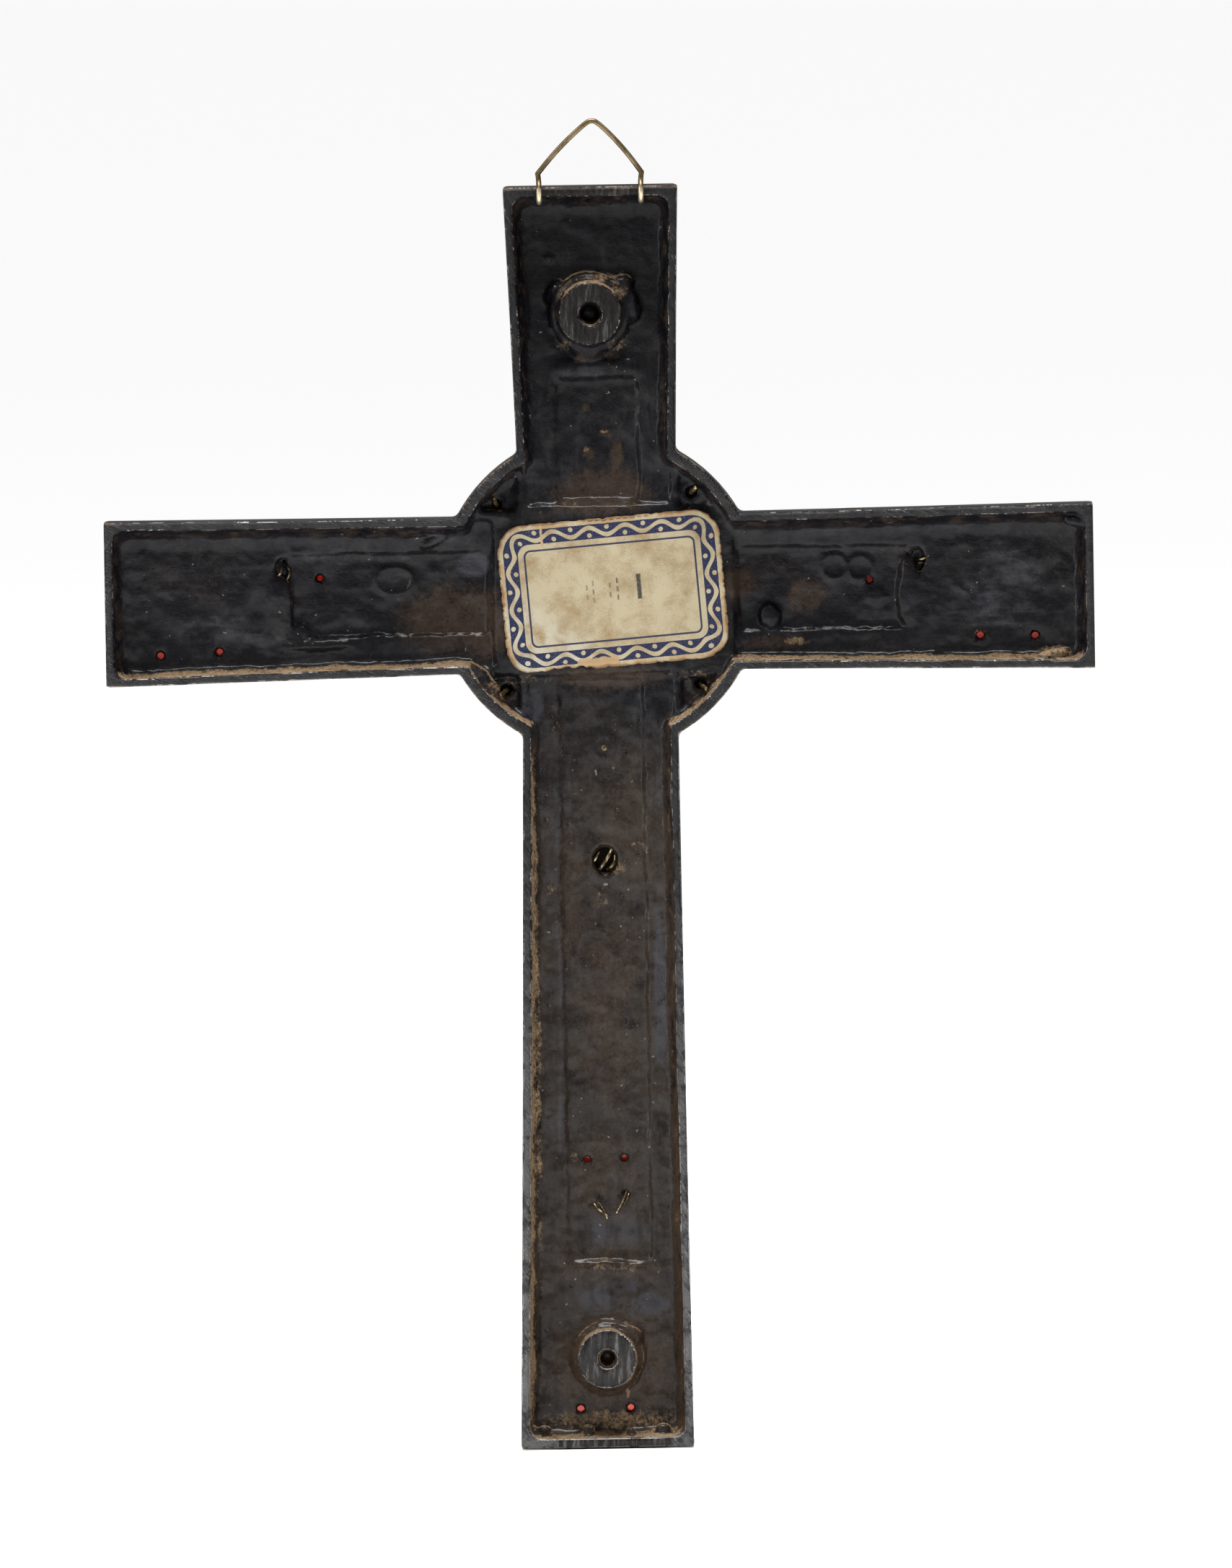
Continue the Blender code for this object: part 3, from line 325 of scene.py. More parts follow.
cast = merged_copy("cross", "cross_casting")
soften(cast, MOULD_ROUNDING)
metal = [lump(*sizes) for sizes in LUMPS] + [ring(*sizes) for sizes in RINGS]
pick(cast, *metal)
bpy.ops.object.join()
soften(cast, METAL_ROUNDING)
for size, height in UNEVENNESS:
    unevenness = bpy.data.textures.new("unevenness", "CLOUDS")
    unevenness.noise_scale = size
    unevenness.noise_depth = 2
    modify(cast, "DISPLACE", texture=unevenness, strength=height, mid_level=0.5, vertex_group="skin",
           texture_coords="LOCAL")
share = MOST_TRIANGLES / (2 * len(cast.data.polygons))
modify(cast, "DECIMATE", ratio=min(1.0, share))
drops = [lump(*place, DROP_RADIUS, DROP_RADIUS, DROP_RADIUS, rings=6) for place in DROPS]
pick(cast, *drops)
bpy.ops.object.join()
cast.vertex_groups.clear()
places = rows(cast.data.vertices, "co")
flat = RIM_Y - places[:, 1] < FLAT_BAND
places[flat, 1] = RIM_Y
cast.data.vertices.foreach_set("co", places.ravel())
shade(cast, 40)

# The stains of the hollow, with some painted light among them: across, up, half width, half
# height and strength of each patch
BROWN_PATCHES = (
    (-28.3, -4.5, 10.0, 6.5, 1.0), (-22.0, -6.0, 6.0, 7.0, 1.0), (0.8, 19.0, 9.5, 4.6, 1.0),
    (-1.5, 26.0, 1.5, 1.4, 0.9), (3.6, 26.0, 1.4, 3.4, 0.9), (2.0, 30.0, 1.6, 1.0, 0.8),
    (26.5, 1.2, 4.0, 3.2, 0.9), (39.1, -1.6, 3.6, 3.6, 1.0), (33.0, -10.2, 7.0, 1.6, 0.8),
    (1.1, -16.2, 10.5, 3.0, 0.9), (0.5, -80.0, 7.5, 26.0, 0.55), (-6.0, -60.0, 3.2, 22.0, 0.6),
    (-1.0, -128.0, 15.0, 5.0, 0.55), (0.0, -147.0, 16.0, 13.0, 0.75), (0.0, -112.0, 9.0, 14.0, 0.5),
    (-2.6, 44.3, 1.7, 0.9, 0.8), (3.0, 44.8, 1.7, 0.8, 0.7), (3.5, -34.0, 5.0, 8.0, 0.5),
    (-20.0, -20.0, 6.0, 4.0, 0.6), (20.0, -20.0, 6.0, 4.0, 0.6), (-2.0, 35.0, 1.0, 0.8, 0.8),
)
# Tan dirt, partly painted light on lit ridges and on the shaft wall that catches the light
TAN_DIRT_AND_LIGHT_PATCHES = (
    (6.6, -49.4, 2.4, 3.2, 0.6), (2.6, -52.6, 2.6, 1.6, 0.65), (4.5, -44.2, 3.2, 1.2, 0.45),
    (-13.2, -82.0, 1.0, 52.0, 0.7), (0.0, -128.4, 8.8, 1.1, 0.6), (-0.9, 59.6, 5.4, 1.6, 0.6),
    (4.8, 57.4, 2.6, 3.4, 0.65), (-6.6, 57.2, 2.0, 2.6, 0.55), (3.6, 46.8, 3.0, 1.8, 0.6),
    (-5.8, 46.8, 2.4, 1.8, 0.55), (86.3, -12.8, 4.0, 1.2, 1.0), (-20.0, -19.6, 2.2, 4.8, 0.7),
    (21.2, -21.6, 3.6, 1.4, 0.8), (-0.5, -157.4, 14.0, 2.6, 0.75), (-10.3, -54.8, 1.4, 5.2, 0.45),
    (37.0, -10.0, 3.4, 0.9, 0.8), (0.0, -58.4, 2.2, 4.6, 0.55), (72.1, -9.5, 1.3, 1.3, 0.9),
    (-14.6, -16.6, 7.0, 1.4, 0.6), (-6.4, -107.6, 1.6, 1.4, 0.5), (4.4, -108.6, 1.2, 1.2, 0.4),
    (-2.2, 27.0, 0.8, 0.6, 0.8), (1.6, 30.3, 1.4, 0.5, 0.8), (16.5, -15.9, 5.0, 1.2, 0.6),
    (-8.6, -25.6, 1.2, 3.0, 0.4), (3.0, -152.6, 0.5, 1.2, 1.0),
)
# Lighter blue-grey oxide, partly a painted sheen on lips, fillets and the ends of the arms
GREY_AND_SHEEN_PATCHES = (
    (-2.6, -134.8, 3.6, 2.6, 1.0), (7.4, -135.6, 3.6, 2.2, 1.0), (2.0, -132.0, 6.0, 1.6, 0.6),
    (1.0, -121.5, 8.0, 4.0, 0.7), (-23.8, 5.4, 3.6, 2.6, 0.9), (-70.0, -7.0, 12.0, 6.0, 0.5),
    (76.0, 0.0, 11.0, 9.0, 0.5), (5.0, -93.0, 5.0, 4.0, 0.45), (-8.0, -42.0, 4.0, 12.0, 0.4),
    (10.2, -75.0, 1.6, 22.0, 0.7), (-8.6, -95.0, 1.2, 40.0, 0.5), (-13.0, -21.0, 3.0, 4.0, 0.7),
    (-2.2, 41.8, 7.5, 1.4, 0.6), (-45.0, 7.0, 14.0, 3.0, 0.45), (0.0, -112.0, 3.0, 2.0, 0.5),
    (-30.0, 12.0, 8.0, 1.6, 0.5),
)


def patches(mesh, spots):
    """How deep each vertex lies in the nearest patch: 1 in its middle, 0 well outside it."""
    places = rows(mesh.vertices, "co")
    across, above = (DISC.x - places[:, 0]) / MM, (places[:, 2] - DISC.z) / MM
    field = np.zeros(len(places))
    for middle_across, middle_up, wide, high, strength in spots:
        reach = np.hypot((across - middle_across) / wide, (above - middle_up) / high)
        field = np.maximum(field, strength * np.clip(1.5 - reach, 0.0, 1.0))
    return field


# Tan dirt and painted light on the upward walls of the arms and along both walls of the shaft
# below the disc: painted as lit from above, and stronger on the walls that face -X than +X
skin = open_to_back(cast)
normals = rows(cast.data.vertex_normals, "vector")
filed = (RIM_Y - places[:, 1] < FILED_BAND) & (normals[:, 1] > 0.6)
wall = skin * np.clip((0.8 - np.abs(normals[:, 1])) / 0.5, 0.0, 1.0)
down_shaft = np.clip((SHAFT_START - (places[:, 2] - DISC.z) / MM) / 4.0, 0.0, 1.0)
upward_dirt_and_light = wall * np.clip(normals[:, 2] * 1.4, 0.0, 1.0)
shaft_wall_dirt_and_light = wall * down_shaft * np.clip(np.maximum(-normals[:, 0] * 1.8, normals[:, 0] * 0.45), 0.0, 0.95)
paint(cast.data, "filed", filed)
paint(cast.data, "skin", skin)
paint(cast.data, "wall", wall)
paint(cast.data, "dust_and_light", np.maximum(np.maximum(upward_dirt_and_light, shaft_wall_dirt_and_light), patches(cast.data, TAN_DIRT_AND_LIGHT_PATCHES) * skin))
paint(cast.data, "brown", patches(cast.data, BROWN_PATCHES) * skin)
paint(cast.data, "grey", patches(cast.data, GREY_AND_SHEEN_PATCHES) * skin)


class Wire:
    """A value, vector or colour on its way through a finish; arithmetic on it adds Math nodes."""

    def __init__(self, finish, socket):
        self.finish = finish
        self.socket = socket

    def maths(self, operation, *values):
        return self.finish.node("ShaderNodeMath", {"operation": operation}, dict(enumerate(values)))

    def __add__(self, other):
        return self.maths("ADD", self, other)

    def __sub__(self, other):
        return self.maths("SUBTRACT", self, other)

    def __rsub__(self, other):
        return self.maths("SUBTRACT", other, self)

    def __mul__(self, other):
        return self.maths("MULTIPLY", self, other)

    __radd__ = __add__
    __rmul__ = __mul__

    def __abs__(self):
        return self.maths("ABSOLUTE", self)

    def largest(self, other):
        return self.maths("MAXIMUM", self, other)

    def between(self, low, high):
        """0 below low and 1 above high, with a smooth step between them; low may be the larger."""
        return self.finish.node("ShaderNodeMapRange", {"interpolation_type": "SMOOTHSTEP"},
                                {"Value": self, "From Min": low, "From Max": high})


class Finish:
    """One named finish: a Principled shader with its constants, and the nodes that feed it."""

    def __init__(self, name, **constants):
        self.material = bpy.data.materials.new(name)
        self.material.use_nodes = True
        self.tree = self.material.node_tree
        self.shader = self.tree.nodes["Principled BSDF"]
        for socket, value in constants.items():
            self.shader.inputs[socket.replace("_", " ")].default_value = value
        self.place = self.node("ShaderNodeTexCoord", out="Object")

    def node(self, kind, settings=None, sockets=None, out=0):
        """Add a node, with its settings first and then the values or links of its sockets."""
        made = self.tree.nodes.new(kind)
        for name, value in (settings or {}).items():
            setattr(made, name, value)
        for name, value in (sockets or {}).items():
            if isinstance(value, Wire):
                self.tree.links.new(value.socket, made.inputs[name])
            else:
                made.inputs[name].default_value = value
        return Wire(self, made.outputs[out])

    def stretched(self, scale, turn=(0.0, 0.0, 0.0)):
        """Places turned, then scaled; a scale of 1000 makes one unit a millimetre."""
        turned = self.node("ShaderNodeMapping", {}, {"Vector": self.place, "Rotation": turn})
        return self.node("ShaderNodeMapping", {}, {"Vector": turned, "Scale": scale})

    def noise(self, size, detail=3.0, roughness=0.55, distortion=0.0, place=None):
        """Cloudy noise from 0 to 1, its features about this wide in the unit of the place."""
        sockets = {"Vector": place or self.place, "Scale": 1.0 / size, "Detail": detail,
                   "Roughness": roughness, "Distortion": distortion}
        return self.node("ShaderNodeTexNoise", {}, sockets)

    def mix(self, first, second, share):
        """A colour between two colours, each a wire or three numbers."""
        first, second = (tint if isinstance(tint, Wire) else (*tint, 1.0) for tint in (first, second))
        return self.node("ShaderNodeMix", {"data_type": "RGBA"}, {0: share, 6: first, 7: second}, out=2)

    def painted(self, name):
        return self.node("ShaderNodeAttribute", {"attribute_name": name}, out="Fac")

    def coordinate(self, axis, place=None):
        return self.node("ShaderNodeSeparateXYZ", {}, {"Vector": place or self.place}, out=axis)

    def bump(self, height, distance):
        """Feed the shader's normal from a height, where 1 stands this many metres proud."""
        sockets = {"Height": height, "Distance": distance, "Strength": 1.0}
        self.feed(Normal=self.node("ShaderNodeBump", {}, sockets))

    def feed(self, **sockets):
        for name, value in sockets.items():
            self.tree.links.new(value.socket, self.shader.inputs[name.replace("_", " ")])


# Colours of the skin, its stains and painted glints, sheen and light, and the filed steel-grey metal
BLUE_BLACK, WARM_BLACK = (0.0026, 0.0026, 0.0040), (0.0235, 0.0165, 0.0118)
TOP_BLACK, FOOT_BLACK = (0.0010, 0.0010, 0.0014), (0.0016, 0.0012, 0.0010)
PIT_BLACK, DRAGGED_BLACK = (0.0022, 0.0022, 0.003), (0.0015, 0.0015, 0.0020)
DRAGGED_GREY = (0.050, 0.049, 0.054)
DUSKY_METAL, BLUE_GREY_AND_SHEEN, PAINTED_GLINT = (0.075, 0.066, 0.060), (0.034, 0.034, 0.040), (0.12, 0.115, 0.11)
BROWN_STAIN, WALL_RUST, TAN_DIRT_AND_LIGHT = (0.048, 0.030, 0.0190), (0.042, 0.026, 0.0155), (0.22, 0.150, 0.088)
STEEL_ABOVE, STEEL_BELOW, STEEL_STAIN = (0.017, 0.017, 0.018), (0.080, 0.078, 0.078), (0.012, 0.0115, 0.012)
SCRATCH_LIGHT, SCRATCH_DARK, BURR = (0.34, 0.33, 0.32), (0.006, 0.006, 0.007), (0.30, 0.29, 0.275)
BOSS_METAL, STROKE_LIGHT, STROKE_DARK = (0.013, 0.0115, 0.011), (0.115, 0.112, 0.108), (0.004, 0.004, 0.004)
WORN_GOLD = (0.12, 0.078, 0.038)


def cast_bronze():
    """Lacquered blue-black skin gone brown in places, tan dirt and blue-grey partly painted light and sheen,
    painted glints, and a filed steel-grey rim.
    """
    finish = Finish("cast_bronze", Specular_IOR_Level=0.07, Coat_Roughness=0.16)
    skin, filed, wall = (finish.painted(name) for name in ("skin", "filed", "wall"))
    broad = finish.noise(0.016, 4.0, 0.6, 0.6)
    mottle = finish.noise(0.0035, 5.0, 0.68, 0.3)
    grain = finish.noise(0.0008, 4.0, 0.72)
    speckle = finish.noise(0.00035, 2.0, 0.6)
    x, y, z = (finish.coordinate(axis) for axis in "XYZ")
    lower = z.between(DISC.z - 0.02, DISC.z - 0.15)
    on_shaft = z.between(DISC.z - 0.012, DISC.z - 0.05)
    on_top = z.between(DISC.z + 0.012, DISC.z + 0.05)
    on_arm = abs(x).between(0.0165, 0.019)

    def dragged(size, length, turn_down, turn_along):
        """Noise drawn out down the shaft and along the arms."""
        down = finish.stretched((1.0, 1.0, length), (0.0, turn_down, 0.0))
        along = finish.stretched((length, 1.0, 1.0), (0.0, turn_along, 0.0))
        down, along = (finish.noise(size, 3.0, 0.6, 0.2, place) for place in (down, along))
        return finish.node("ShaderNodeMix", {"data_type": "FLOAT"}, {0: on_arm, 2: down, 3: along})

    drawn = dragged(0.0024, 0.2, 0.0, 0.0)
    warmth = (broad * 0.8 + on_shaft * 0.45 + (grain - 0.5) * 0.6).between(0.34, 1.05)
    colour = finish.mix(BLUE_BLACK, WARM_BLACK, warmth)
    dusky = (mottle * 0.7 + grain * 0.6).between(0.58, 0.86)
    colour = finish.mix(colour, DUSKY_METAL, dusky * (0.06 + on_shaft * 0.10) * skin)
    # Blue-grey oxide, partly a painted sheen
    grey = (finish.painted("grey") + (mottle - 0.5) * 0.9 + (drawn - 0.5) * 0.7).between(0.35, 0.8)
    colour = finish.mix(colour, BLUE_GREY_AND_SHEEN, grey * 0.75)
    colour = finish.mix(colour, DRAGGED_GREY, drawn.between(0.54, 0.74) * skin * 0.2)
    colour = finish.mix(colour, DRAGGED_BLACK, drawn.between(0.46, 0.30) * skin * 0.5)
    colour = finish.mix(colour, TOP_BLACK, on_top * 0.5 * skin)
    colour = finish.mix(colour, FOOT_BLACK, lower * (0.1 + mottle * 0.4) * skin)
    brown = (finish.painted("brown") + (mottle - 0.5) * 1.0 + (grain - 0.5) * 0.8).between(0.30, 0.85)
    colour = finish.mix(colour, BROWN_STAIN, brown * (0.05 + grain * 0.85))
    rusty = wall * (mottle + lower * 0.2 + (grain - 0.5) * 0.5).between(0.45, 0.7)
    colour = finish.mix(colour, WALL_RUST, rusty * 0.7)
    # Tan dirt, partly painted light: lighter on upward walls, lit ridges and one side of the shaft
    dust_and_light = (finish.painted("dust_and_light") + (mottle - 0.5) * 1.3 + (grain - 0.5) * 1.1).between(0.5, 0.95)
    colour = finish.mix(colour, TAN_DIRT_AND_LIGHT, dust_and_light * (speckle + grain - 0.35).between(0.25, 0.85))
    pits = (mottle + (speckle - 0.5) * 0.5).between(0.42, 0.28)
    colour = finish.mix(colour, PIT_BLACK, pits * skin * 0.85)
    # Painted glints: scattered pale specks that stand in for highlights
    colour = finish.mix(colour, PAINTED_GLINT, finish.noise(0.0010, 2.0, 0.5).between(0.735, 0.77) * skin)

    scored = dragged(0.00028, 0.07, math.radians(-32), math.radians(24))
    steel = finish.mix(STEEL_ABOVE, STEEL_BELOW, lower)
    steel = finish.mix(steel, STEEL_STAIN, (mottle + (grain - 0.5) * 0.5).between(0.56, 0.36) * 0.75)
    steel = finish.mix(steel, SCRATCH_LIGHT, scored.between(0.58, 0.78) * (0.14 + lower * 0.4))
    steel = finish.mix(steel, SCRATCH_DARK, scored.between(0.44, 0.3) * 0.75)
    on_boss = abs(x).between(0.0115, 0.0105)
    steel = finish.mix(steel, BOSS_METAL, on_boss * (0.65 + mottle * 0.5))
    strokes = finish.noise(0.0006, 3.0, 0.6, 0.2, finish.stretched((1.0, 1.0, 0.12), (0.0, 0.05, 0.0)))
    steel = finish.mix(steel, STROKE_LIGHT, strokes.between(0.50, 0.72) * on_boss * (0.35 + lower * 0.4))
    steel = finish.mix(steel, STROKE_DARK, strokes.between(0.46, 0.32) * on_boss * 0.7)
    colour = finish.mix(colour, steel, filed)
    at_edge = (filed * (1 - filed) * 4).between(0.35, 0.9)
    burr = at_edge * (grain + lower * 0.15 + (mottle - 0.5)).between(0.5, 0.62)
    colour = finish.mix(colour, BURR, burr * 0.85)

    front = y.between(RIM_Y - 0.0082, RIM_Y - 0.0088)
    worn = finish.node("ShaderNodeNewGeometry", out="Pointiness").between(0.505, 0.56) * (1 - skin)
    gold = (front * 0.5 + worn * 0.8) * mottle.between(0.3, 0.7)
    colour = finish.mix(colour, WORN_GOLD, gold)

    roughness = 0.18 + mottle * 0.26 + brown * 0.16 + dust_and_light * 0.4 + grain * 0.12
    roughness = roughness.maths("MINIMUM", roughness, 0.9)
    roughness = finish.node("ShaderNodeMix", {"data_type": "FLOAT"}, {0: filed, 2: roughness, 3: 0.42})
    height = grain * 0.6 + speckle * 0.35 + scored * filed * 1.2 + mottle * 1.1 * skin + drawn * 0.9 * skin
    finish.bump(height + (brown + dust_and_light) * grain * 0.8, 0.00034)
    lacquer = skin * (1 - dust_and_light) * (0.02 + mottle * 0.26) * (1 - on_top * 0.4)
    finish.feed(Base_Color=colour, Roughness=roughness, Metallic=filed * 0.85 + gold * 0.6)
    finish.feed(Coat_Weight=lacquer)
    return finish.material


cast.data.materials.append(cast_bronze())
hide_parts("cross")
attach(cast, "cross")


# The maker's label is a gummed paper ticket with a printed border of a wave, dots and lines. It is
# stained by glue and tobacco, its edges are rubbed and a strip of its lower edge is torn off.
LABEL_WIDTH = 42.4
LABEL_HEIGHT = 28.4
LABEL_CORNER = 5.2
LABEL_TURN = math.radians(4.4)
LABEL_CENTRE = (2.6, 0.0)
LABEL_DEPTH = 4.15
PAPER_THICKNESS = 0.16 * MM
WAVES = 17
BAND_START = 1.05
BAND_END = 3.85
WAVE_SWING = 0.74
DOT_SPACING = 6.83
DOT_OFFSET = 0.72
SIDE_POINTS = 44
CORNER_POINTS = 9


def rounded_ring(inset):
    """Points round the label at an inset from its edge, in millimetres, from the top's left end."""
    corner = max(LABEL_CORNER - 0.8 * inset, 0.4)
    half_wide = max(LABEL_WIDTH / 2 - inset - corner, 0.0)
    half_high = max(LABEL_HEIGHT / 2 - inset - corner, 0.0)
    points = []
    for quarter, (sx, sy) in enumerate(((1, 1), (1, -1), (-1, -1), (-1, 1))):
        start = Vector((-sx if quarter % 2 == 0 else sx, sy if quarter % 2 == 0 else -sy))
        across_side = Vector((start.x * half_wide, start.y * half_high))
        finish_side = Vector((sx * half_wide, sy * half_high))
        outward = Vector(((0, 1), (1, 0), (0, -1), (-1, 0))[quarter]) * corner
        points += [across_side.lerp(finish_side, i / SIDE_POINTS) + outward for i in range(SIDE_POINTS)]
        for i in range(CORNER_POINTS):
            turn = math.pi / 2 * (1 - quarter - i / CORNER_POINTS)
            points.append(finish_side + corner * Vector((math.cos(turn), math.sin(turn))))
    return points


def run_lengths(points):
    """Share of the whole way round at which each point of a ring lies."""
    steps = [(b - a).length for a, b in zip(points, points[1:] + points[:1])]
    total = sum(steps)
    return [sum(steps[:i]) / total for i in range(len(points) + 1)]


def edge_wear(index, count, inset):
    """How far the edge of the paper is rubbed away at one point of the ring, in millimetres."""
    share = index / count
    rub = 0.16 * (1 + math.sin(83 * share * math.tau)) * (1 + math.sin(31 * share * math.tau + 1)) / 2
    tear = max(0.0, 1.0 - abs(share - 0.676) / 0.040)
    torn = 0.75 * tear ** 0.4 * (1.1 + 0.4 * math.sin(57 * share * math.tau))
    return (rub + torn) * max(0.0, 1.0 - inset / 1.4)


def make_label():
    """A thin curled sheet in rings from its worn edge to its middle, with the way round it as a UV map."""
    insets = [0.0, 0.25, 0.5, 0.8, 1.05, 1.7, 2.45, 3.15, 3.85]
    insets += [4.5, 5.2, 6.2, 7.4, 8.8, 10.2, 11.6, 12.8, 13.85]
    shares = run_lengths(rounded_ring((BAND_START + BAND_END) / 2))
    sheet = bmesh.new()
    rings = []
    for inset in insets:
        points = rounded_ring(inset)
        ring_points = []
        for index, point in enumerate(points):
            worn = point - point.normalized() * edge_wear(index, len(points), inset)
            lift = 0.12 * math.sin(0.31 * worn.x + 1.1) * math.sin(0.43 * worn.y) + 0.10
            curl = max(0.0, math.sin(5 * math.tau * shares[index] + 0.7))
            lift += 0.30 * max(0.0, 1.0 - inset / 2.0) * curl
            ring_points.append(sheet.verts.new((worn.x, worn.y, lift)))
        rings.append(ring_points)
    printed = sheet.loops.layers.uv.new("border")
    plan = sheet.loops.layers.uv.new("sheet")
    count = len(rings[0])
    for outer, inner, low, high in zip(rings, rings[1:], insets, insets[1:]):
        for i in range(count):
            j = (i + 1) % count
            face = sheet.faces.new((outer[i], inner[i], inner[j], outer[j]))
            corners = ((shares[i], low), (shares[i], high), (shares[i + 1], high), (shares[i + 1], low))
            for loop, corner in zip(face.loops, corners):
                loop[printed].uv = corner
                loop[plan].uv = loop.vert.co.xy
    middle = sheet.faces.new(rings[-1][::-1])
    for loop in middle.loops:
        loop[printed].uv = (0.0, insets[-1])
        loop[plan].uv = loop.vert.co.xy
    mesh = bpy.data.meshes.new("paper_label")
    sheet.to_mesh(mesh)
    sheet.free()
    item = bpy.data.objects.new("paper_label", mesh)
    bpy.context.scene.collection.objects.link(item)
    centre = behind(*LABEL_CENTRE, LABEL_DEPTH)
    axes = Matrix(((-MM, 0.0, 0.0), (0.0, 0.0, MM), (0.0, MM, 0.0)))
    turn = Matrix.Rotation(LABEL_TURN, 3, "Z")
    mesh.transform(Matrix.Translation(centre) @ (axes @ turn).to_4x4())
    if mesh.polygons[0].normal.y < 0:
        mesh.flip_normals()
    modify(item, "SOLIDIFY", thickness=PAPER_THICKNESS, offset=-1.0)
    mesh.shade_smooth()
    return item


# Short strokes of stamping ink: across, up and how dark each is
STROKES = (
    (0.9, 2.1, 0.75), (0.9, 0.5, 0.6), (0.9, -1.1, 0.7), (-0.5, 1.3, 0.5), (-0.5, -0.5, 0.6),
    (-3.7, 2.0, 0.5), (-3.7, 0.3, 0.6), (-3.7, -1.2, 0.4), (-4.9, 1.2, 0.5), (-4.9, -0.6, 0.4),
)


def printed_paper():
    """Cream paper with a navy band that holds a wave and dots, two inner lines, stains and ink."""
    finish = Finish("printed_paper", Specular_IOR_Level=0.25)
    border, plan = (finish.node("ShaderNodeUVMap", {"uv_map": name}) for name in ("border", "sheet"))
    run, inset = (finish.coordinate(axis, border) for axis in "XY")
    x, y = (finish.coordinate(axis, plan) for axis in "XY")
    stain = finish.noise(6.0, 5.0, 0.65, 0.2, plan)
    grit = finish.noise(0.28, 3.0, 0.75, 0.0, plan)
    fibre = finish.noise(0.5, 4.0, 0.7, 0.0, plan)
    blot = finish.noise(2.2, 3.0, 0.6, 1.2, plan)

    clean = (stain + (grit - 0.5) * 0.5).between(0.38, 0.6)
    paper = finish.mix((0.218, 0.170, 0.098), (0.290, 0.249, 0.162), clean)
    paper = finish.mix(paper, (0.183, 0.112, 0.046), (stain + (grit - 0.5) * 0.4).between(0.42, 0.28) * 0.8)
    paper = finish.mix(paper, (0.134, 0.067, 0.025), (blot + (grit - 0.5) * 0.3).between(0.34, 0.24) * 0.6)
    # A painted pool of light on the lower left, where the curled paper faces the light
    painted_light_lower_left = (x * -1 - y * 1.2).between(12.0, 22.0) * stain.between(0.35, 0.6)
    paper = finish.mix(paper, (0.321, 0.298, 0.232), painted_light_lower_left * 0.8)
    paper = finish.mix(paper, (0.156, 0.120, 0.073), grit.between(0.55, 0.8) * 0.45)
    ochre = inset.between(1.5, 0.4) * (stain + (blot - 0.5)).between(0.62, 0.42)
    paper = finish.mix(paper, (0.241, 0.147, 0.061), ochre * 0.75)

    middle = (BAND_START + BAND_END) / 2
    turns = run * WAVES
    swing = turns.maths("SINE", turns * math.tau)
    wave = abs(inset - (swing * WAVE_SWING + middle)).between(0.47, 0.38)
    outer_dot = turns.maths("FRACT", turns + 0.25)
    inner_dot = turns.maths("FRACT", turns + 0.75)

    def dot(share, centre):
        along = (share - 0.5) * DOT_SPACING
        off = inset - centre
        apart = along * along + off * off
        return apart.between(0.49 ** 2, 0.39 ** 2)

    navy = inset.between(BAND_START - 0.04, BAND_START + 0.04)
    navy = navy * inset.between(BAND_END + 0.04, BAND_END - 0.04)
    line = inset.between(4.86, 4.94) * inset.between(5.30, 5.22)
    cream = wave.largest(dot(outer_dot, middle - DOT_OFFSET)).largest(dot(inner_dot, middle + DOT_OFFSET))
    scratch = finish.noise(0.22, 2.0, 0.6, 0.0, plan).between(0.60, 0.72) * 0.55
    ink = (navy * (1 - cream) * (1 - scratch)).largest(line * 0.95)
    ink = ink * fibre.between(0.25, 0.36)
    colour = finish.mix(paper, (0.0055, 0.0085, 0.034), ink)

    tear_depth = (y + LABEL_HEIGHT / 2).between(3.1, 1.2)
    tear_depth = tear_depth * (x + 8.6).between(0.0, 1.2) * (x + 0.2).between(0.8, -0.4)
    torn = (tear_depth * 0.9 + (blot - 0.5) * 0.9).between(0.45, 0.6) * tear_depth.between(0.05, 0.2)
    colour = finish.mix(colour, (0.267, 0.178, 0.089), torn * 0.9)
    crease = abs(x + 12.6 + (fibre - 0.5) * 0.6).between(0.35, 0.1) * (y - 9.5).between(0.0, 0.6)
    colour = finish.mix(colour, (0.277, 0.196, 0.107), crease)
    rubbed = (inset + (stain - 0.5) * 1.6 + (fibre - 0.5) * 0.5).between(0.55, 0.1)
    colour = finish.mix(colour, (0.116, 0.058, 0.023), rubbed * 0.85)

    def bar(at, level, wide, high):
        """A short broken stroke of stamping ink."""
        beside = abs(x - at + (fibre - 0.5) * 0.3).between(wide, wide * 0.5)
        return beside * abs(y - level).between(high, high - 0.25)

    marks = bar(5.0, 0.6, 0.55, 2.5) * 0.95
    for at, level, dark in STROKES:
        marks = marks.largest(bar(at, level, 0.24, 0.62) * dark)
    dashes = x.maths("FRACT", x * 0.75).between(0.35, 0.42) * abs(inset - 0.45).between(0.12, 0.06)
    marks = marks.largest(dashes * abs(x - 2.0).between(6.5, 5.5) * (y - 12.0).between(0.0, 0.5) * 0.8)
    colour = finish.mix(colour, (0.022, 0.020, 0.018), marks * fibre.between(0.2, 0.45))

    finish.bump(stain * 0.5 + fibre * 0.25 + torn * 0.4, 0.00022)
    finish.feed(Base_Color=colour, Roughness=0.62 + fibre * 0.25)
    return finish.material


label = make_label()
label.data.materials.append(printed_paper())
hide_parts("label")
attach(label, "cross")


